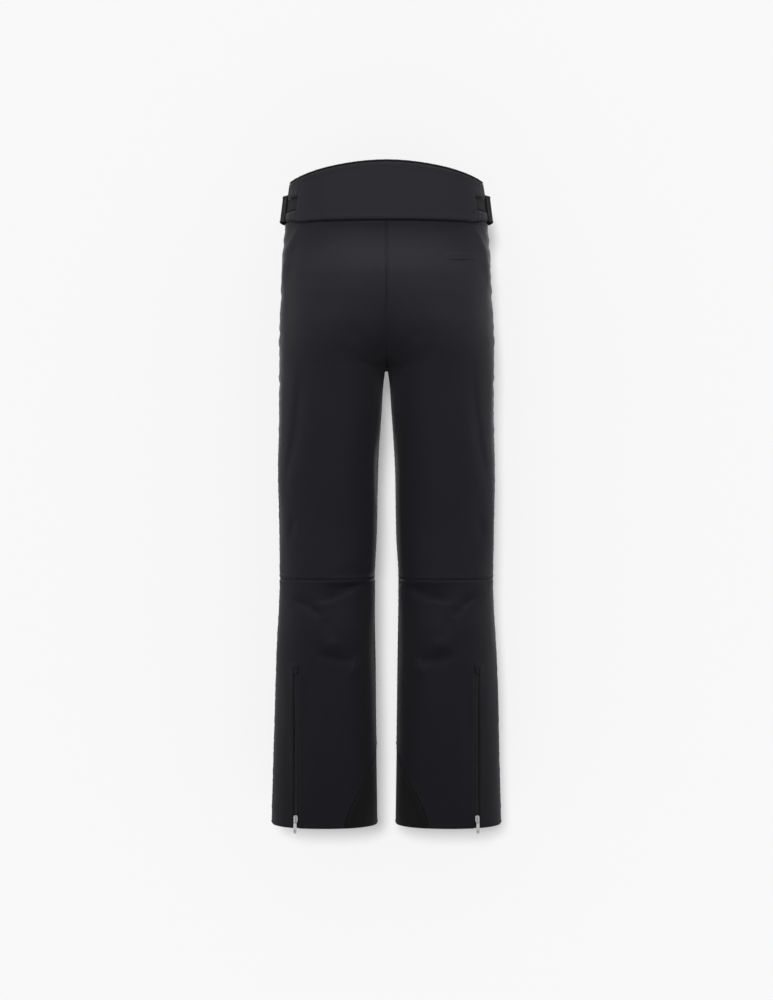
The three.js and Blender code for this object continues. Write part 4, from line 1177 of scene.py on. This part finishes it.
def zips():
    for label, side in (("left", 1), ("right", -1)):
        low = on_shell(side, CUFF_ZIP_X, 0.5, True)
        high = on_shell(side, CUFF_ZIP_X, CUFF_ZIP_TOP - 0.8, True)
        place = frame_on(low, high, outward_at(side, CUFF_ZIP_X, 135, True))

        def on_cuff(u, v, h, side=side):
            z = 0.5 + v
            middle = cuff_share(z)
            return body_point(side, middle - u * share_per_mm(middle, z, True), z, h, True)
        zip_strip(f"cuff_zip_{label}", CUFF_ZIP_TOP - 1.3, on_cuff, place, -3.0, 0.1)
        slider_and_puller(f"cuff_{label}", place, CUFF_SLIDER_AT, 24)
        length = float(np.linalg.norm(high - low))
        dome = turned(GARAGE, [(0.15, 1.5), (0.5, 1.45), (0.8, 1.35), (0.92, 1.2), (0.98, 0.95), (1, 0.6),
                               (1, -0.6), (0.15, -0.6)])
        button = turned(circle(2.6, 20), [(0.2, 2.3), (0.6, 2.2), (0.9, 1.8), (1, 1.4), (1, 0.6), (0.2, 0.6)])
        button[0][:, 1] -= 2.2
        solid(f"cuff_zip_garage_{label}", [dome, button], "shell", ROOT, "zip_tape",
              lambda p, place=place, length=length: place(p, (0, length - 4, 0)))
        middle = float(cuff_share(np.array(135.0)))
        body_sheet(f"cuff_gusset_{label}", side, True, middle - 0.1, middle + 0.1, (6, CUFF_ZIP_TOP - 8),
                   -7.4, 1.0)

        low = on_shell(side, POCKET_LOW[0], POCKET_LOW[1] + 1.4, False)
        high = on_shell(side, POCKET_TOP[0], POCKET_TOP[1] - 0.6, False)
        middle = (low + high) / 2
        place = frame_on(low, high, outward_at(side, abs(middle[0]), middle[2], False))
        length = float(np.linalg.norm(high - low))

        def on_pocket(u, v, h, side=side, length=length):
            z = POCKET_LOW[1] + 1 + v / length * (POCKET_TOP[1] - POCKET_LOW[1] - 1.6)
            middle = pocket_share(z)
            return body_point(side, middle + u * share_per_mm(middle, z, False), z, h, False)
        zip_strip(f"hand_pocket_zip_{label}", length, on_pocket, place, -3.2, 0.16)
        slider_and_puller(f"hand_pocket_{label}", place, length - 8.5, 20)
        body_sheet(f"hand_pocket_bag_{label}", side, False, lambda z: pocket_share(z) - 0.117,
                   lambda z: pocket_share(z) + 0.333, (800, 980), -12.5, 1.2)

    def back_pocket_sheet(name, z_from, z_to, offset, thickness, material, slope):
        z = z_from + marks(z_to - z_from, 4) * (z_to - z_from)
        x = BACK_POCKET_X[0] - marks(BACK_POCKET_X[0] - BACK_POCKET_X[1], 3) * (
            BACK_POCKET_X[0] - BACK_POCKET_X[1])
        xx, zz = np.meshgrid(x, z)
        zz = zz + slope * xx
        share = share_at_x(xx, zz, True)
        points = body_point(-1, share, zz, offset, True)
        outward = body_point(-1, share, zz, offset + 1, True) - points
        shape = drift(-1, True, lengths(points, 1), zz) * 0.3
        grid_piece(name, points, outward, thickness, [material], shape, slot=material, held="hung")
    back_pocket_sheet("back_pocket_welt", 948, 960, 0.6, 1.1, "shell", 0.08)
    back_pocket_sheet("back_pocket_bag", 830, 970, -7.0, 1.5, "lining", 0.0)


# ---------------------------------------------------------------- front closing
CLOSURE_ROOT, CLOSURE_TIP, CLOSURE_LOW, CLOSURE_HIGH = 24, -46, 1034, 1056
SNAP_X = (-14, -34)
FORK_TAPE_Z = (776, 906)
FORK_TAPE_HALF = 5


def centre_depth(x, z, offset):
    """Distance in front of or behind the waist's middle, near the centre line."""
    r = WIDE_RADIUS - WAIST_TAPER * (z - WAIST_SEAM_SIDE) + offset
    return np.sqrt(r * r - x * x) - WIDE_CENTRE


def fork_tapes():
    """A tape behind the seam where the legs meet, one at the back and one at the front."""
    for label, back, inward in (("back", True, -4.0), ("front", False, 4.0)):
        x, z = np.meshgrid(np.arange(-FORK_TAPE_HALF, FORK_TAPE_HALF + 0.1), np.arange(*FORK_TAPE_Z, 3.0))
        seam = body_point(1, np.ones(z.shape), z, 0, back)
        points = np.stack([x, seam[..., 1] + inward, z], -1)
        outward = np.broadcast_to(np.array([0, -np.sign(inward), 0]), points.shape)
        grid_piece(f"crotch_tape_{label}", points, outward, 0.8, ["lining"], slot="lining", held="hung",
                   node="")


def front_closing():
    top_z = WAIST_SEAM_FRONT - 1.2
    low = np.array([0, body_point(1, np.array(1.0), np.array(FLY_LOW), 0, False)[1], FLY_LOW + 0.8])
    high = np.array([0, body_point(1, np.array(1.0), np.array(top_z), 0, False)[1], top_z])
    place = frame_on(low, high, np.array([0.0, -1, 0]))
    length = float(np.linalg.norm(high - low))

    def on_fly(u, v, h):
        z = FLY_LOW + 0.8 + v / length * (top_z - FLY_LOW - 0.8)
        share = 1 - np.abs(u) * share_per_mm(0.98 + 0 * z, z, False)
        point = body_point(1, share, z, h, False)
        point[..., 0] = u
        return point
    zip_strip("fly_zip", length, on_fly, place, -3.2, 0.16)
    slider_and_puller("fly", place, length - 8, 20)
    y, x = np.meshgrid(marks(length + 6, 4) * (length + 6) - 6, marks(44, 3), indexing="ij")
    x = -20 + x * (32 + 12 * smooth(-6, 18, y))
    points = place(np.stack([x, y, -6.8 + 0 * x], -1))
    outward = place(np.stack([x, y, -5.8 + 0 * x], -1)) - points
    grid_piece("fly_shield", points, outward, 1.6, ["lining"], slot="lining", held="hung")

    x = CLOSURE_ROOT + marks(CLOSURE_ROOT - CLOSURE_TIP, 2) * (CLOSURE_TIP - CLOSURE_ROOT)
    t, xx = np.meshgrid(marks(22, 2), x, indexing="ij")
    ease = 5 * (1 - np.sqrt(np.clip(1 - np.clip((CLOSURE_TIP + 5 - xx) / 5, 0, 1) ** 2, 0, 1)))
    z = CLOSURE_LOW + ease + (CLOSURE_HIGH - CLOSURE_LOW - 2 * ease) * t
    points = np.stack([xx, -centre_depth(xx, z, 5.1), z], -1)
    outward = np.stack([xx * 0.1, -1 + 0 * xx, 0 * xx], -1)
    gap = edge_gap(points)
    _, outer, normal = grid_piece("closure_tab", points, outward, 1.9, ["shell"],
                                  0.25 * ridge(gap - 5, 2.5) - 0.15 * ridge(gap - 2.6, 0.8), body="closure")
    rim_stitch(outer, normal, 2.6, "closure", pitch=2.6)
    middle = (CLOSURE_LOW + CLOSURE_HIGH) / 2
    cap = turned(circle(6.5), [(0.1, 1.7), (0.42, 1.7), (0.5, 1.95), (0.7, 2.1), (0.84, 2.05), (0.95, 1.7),
                               (1, 1.2), (1, 0.3), (0.1, 0.3)])
    stud = turned(circle(6.0), [(0.1, 2.55), (0.3, 2.55), (0.36, 2.3), (0.33, 1.6), (0.4, 1.2), (0.94, 1.15),
                                (1, 0.8), (1, 0.3), (0.1, 0.3)])
    for number, x in enumerate(SNAP_X, 1):
        away = unit(np.array([x, -centre_depth(x, middle, 0) - WIDE_CENTRE, 0]))
        away = unit(away + np.array([0, 0, WAIST_TAPER]))
        for name, part, offset, body in ((f"snap_cap_{number}", cap, 5.2, "closure"),
                                         (f"snap_stud_{number}", stud, 0.1, ROOT)):
            at = np.array([x, -centre_depth(x, middle, offset), middle])
            seat = frame_on(at, at + np.cross(away, (1.0, 0, 0)), away)
            solid(name, [part], "zip_metal", body, "zip_metal", seat)

    half = [(26, 1108, 1.9), (25, 1103, 4), (21, 1092, 7), (10, 1084, 8)]
    loop = [(-x, z, stand) for x, z, stand in half] + half[::-1]
    route = curve_through([(x, centre_depth(x, z, -2.5 - stand), z) for x, z, stand in loop], 150)
    cord = sweep(route, np.tile((0, 1.0, 0), (150, 1)), 1.5, 1.5, power=2,
                 swell=lambda run, turn: 1 + 0.1 * np.cos(3 * turn - run * 1.6))
    solid("hang_loop", [cord], "webbing", ROOT, "webbing")


# ---------------------------------------------------------------- snow gaiters
GAITER_TOP = 215
GAITER_LOW = 24


def gaiters():
    for label, side in (("left", 1), ("right", -1)):
        def ring(z_list, offset, thickness, name, material, gathers):
            phi, z = np.meshgrid(np.linspace(0, 2 * np.pi, 361), z_list)
            back = phi <= np.pi
            folded = np.where(back, phi, 2 * np.pi - phi)
            out = offset(z)
            points = np.where(back[..., None], leg_point(side, folded, z, out, True),
                              leg_point(side, folded, z, out, False))
            grid_piece(name, points, points - leg_axis(side, z), thickness, [material], gathers(phi, z),
                       slot=material, held="gathered", rolled=False)

        def depth(z):
            return -12 - 14 * (GAITER_TOP - z) / (GAITER_TOP - GAITER_LOW)

        def gathered(phi, z):
            wave = np.cos(34 * phi + 0.8 * np.sin(3 * phi)) + 0.5 * np.cos(21 * phi + 1)
            return -1.2 * (1 - wave / 1.5) * smooth(130, GAITER_LOW, z)

        def shirred(phi, z):
            return -0.25 * (1 + np.cos(90 * phi)) * smooth(8, 10, z) * smooth(23.6, 21.6, z)
        ring(np.linspace(GAITER_LOW, GAITER_TOP, 50), depth, 0.8, f"snow_gaiter_{label}", "lining", gathered)
        ring(np.linspace(8, GAITER_LOW - 0.4, 14), lambda z: depth(GAITER_LOW) + 0.4 + 0 * z, 2.2,
             f"gaiter_elastic_{label}", "elastic", shirred)


for label, side in (("left", 1), ("right", -1)):
    leg_panels(label, side)
    kick_panel(label, side)
waistbands()
adjusters()
zips()
fork_tapes()
front_closing()
gaiters()
make_stitches()


# ---------------------------------------------------------------- floor, wall and light
def plain_material(name, colour, see_through_behind=False):
    material, tree, shader = node_tree(name)
    shader.inputs["Base Color"].default_value = (*colour, 1)
    shader.inputs["Roughness"].default_value = 0.95
    shader.inputs["Specular IOR Level"].default_value = 0.0
    if see_through_behind:
        clear = tree.nodes.new("ShaderNodeBsdfTransparent")
        facing = tree.nodes.new("ShaderNodeNewGeometry")
        mix = tree.nodes.new("ShaderNodeMixShader")
        tree.links.new(facing.outputs["Backfacing"], mix.inputs[0])
        tree.links.new(shader.outputs[0], mix.inputs[1])
        tree.links.new(clear.outputs[0], mix.inputs[2])
        tree.links.new(mix.outputs[0], tree.nodes["Material Output"].inputs["Surface"])
    return material


def stage_plane(name, corners, material):
    mesh = bpy.data.meshes.new(name)
    mesh.from_pydata(corners, [], [(0, 1, 2, 3)])
    mesh.materials.append(material)
    obj = bpy.data.objects.new(name, mesh)
    bpy.context.scene.collection.objects.link(obj)
    return obj


FLOOR_Z = -1.4
WALL_Y = -0.135
PALE = (0.93, 0.93, 0.93)
FLOOR_HALF = 12
WALL_HALF = 4
floor = stage_plane("floor", [(x, y, FLOOR_Z) for x, y in (
    (-FLOOR_HALF, -FLOOR_HALF), (FLOOR_HALF, -FLOOR_HALF), (FLOOR_HALF, FLOOR_HALF),
    (-FLOOR_HALF, FLOOR_HALF))], plain_material("floor", PALE))
wall = stage_plane("wall", [(x, WALL_Y, z) for x, z in (
    (WALL_HALF, FLOOR_Z), (-WALL_HALF, FLOOR_Z), (-WALL_HALF, WALL_HALF), (WALL_HALF, WALL_HALF))],
    plain_material("wall", PALE, True))


def add_light(name, kind, location, target, energy, receivers, blockers=None, **values):
    data = bpy.data.lights.new(name, kind)
    data.energy = energy
    for key, value in values.items():
        setattr(data, key, value)
    light = bpy.data.objects.new(name, data)
    light.location = location
    light.rotation_euler = (Vector(target) - Vector(location)).to_track_quat("-Z", "Y").to_euler()
    bpy.context.scene.collection.objects.link(light)
    for role, members in (("receiver", receivers), ("blocker", blockers)):
        if members:
            group = bpy.data.collections.new(f"{name}_{role}s")
            for obj in members:
                group.objects.link(obj)
            setattr(light.light_linking, role + "_collection", group)
    return light


def add_world(glow, backdrop):
    """A dim even glow for lighting, and a pale backdrop that only the camera sees."""
    world = bpy.data.worlds.new("world")
    world.use_nodes = True
    bpy.context.scene.world = world
    tree = world.node_tree
    tree.nodes["Background"].inputs[0].default_value = (1, 1, 1, 1)
    tree.nodes["Background"].inputs[1].default_value = glow
    seen = tree.nodes.new("ShaderNodeBackground")
    seen.inputs[0].default_value = (1, 1, 1, 1)
    seen.inputs[1].default_value = backdrop
    path = tree.nodes.new("ShaderNodeLightPath")
    mix = tree.nodes.new("ShaderNodeMixShader")
    tree.links.new(path.outputs["Is Camera Ray"], mix.inputs[0])
    tree.links.new(tree.nodes["Background"].outputs[0], mix.inputs[1])
    tree.links.new(seen.outputs[0], mix.inputs[2])
    tree.links.new(mix.outputs[0], tree.nodes["World Output"].inputs["Surface"])


def light_scene():
    """The wall and the floor have their own suns, and the pants have soft lamps that light nothing else."""
    pieces = [o for o in bpy.context.scene.objects if o.type == "MESH" and o not in (floor, wall)]
    for plane in (floor, wall):
        plane.visible_diffuse = False
    add_world(0.14, 0.93)
    add_light("key", "SUN", (0.3, 4.0, 0.8), (0, 0, 0), 1.72, [wall], angle=math.radians(12))
    add_light("wall_fill", "SUN", (0, 4.0, 0), (0, 0, 0), 1.07, [wall], [wall])
    add_light("overhead_floor", "SUN", (0.3, 0.6, 3), (0, 0, 0), 2.5, [floor], angle=math.radians(30))
    cloth = [piece for piece in pieces if not piece.name.startswith("adjuster_")]

    def lamp(name, location, target, energy, size, receivers=pieces):
        add_light(name, "AREA", location, target, energy, receivers, pieces, shape="RECTANGLE",
                  size=size[0], size_y=size[1])
    for x in (1, -1):
        lamp(f"edge_{x}", (1.8 * x, 0.1, -0.05), (0.17 * x, 0, -0.4), 5.2, (0.4, 1.2), cloth)
        lamp(f"side_{x}", (1.9 * x, 1.7, 0.35), (0, 0, -0.35), 2.6, (1.0, 1.6), cloth)
        lamp(f"front_side_{x}", (0.9 * x, -2.4, 0.4), (0, 0, -0.4), 36, (0.7, 1.4))
    lamp("high", (0, 1.9, 1.6), (0, 0, -0.3), 15, (1.0, 0.4))
    lamp("near", (0, 1.1, 0.55), (0, 0, -0.05), 3.6, (0.8, 0.25))
    lamp("seat", (0, 1.3, -0.1), (0, 0, -0.25), 4, (0.4, 0.3))
    lamp("overhead", (0, 0.25, 1.2), (0, 0.05, -0.2), 15, (1.2, 0.3))
    bpy.context.scene.view_settings.view_transform = "Standard"


light_scene()
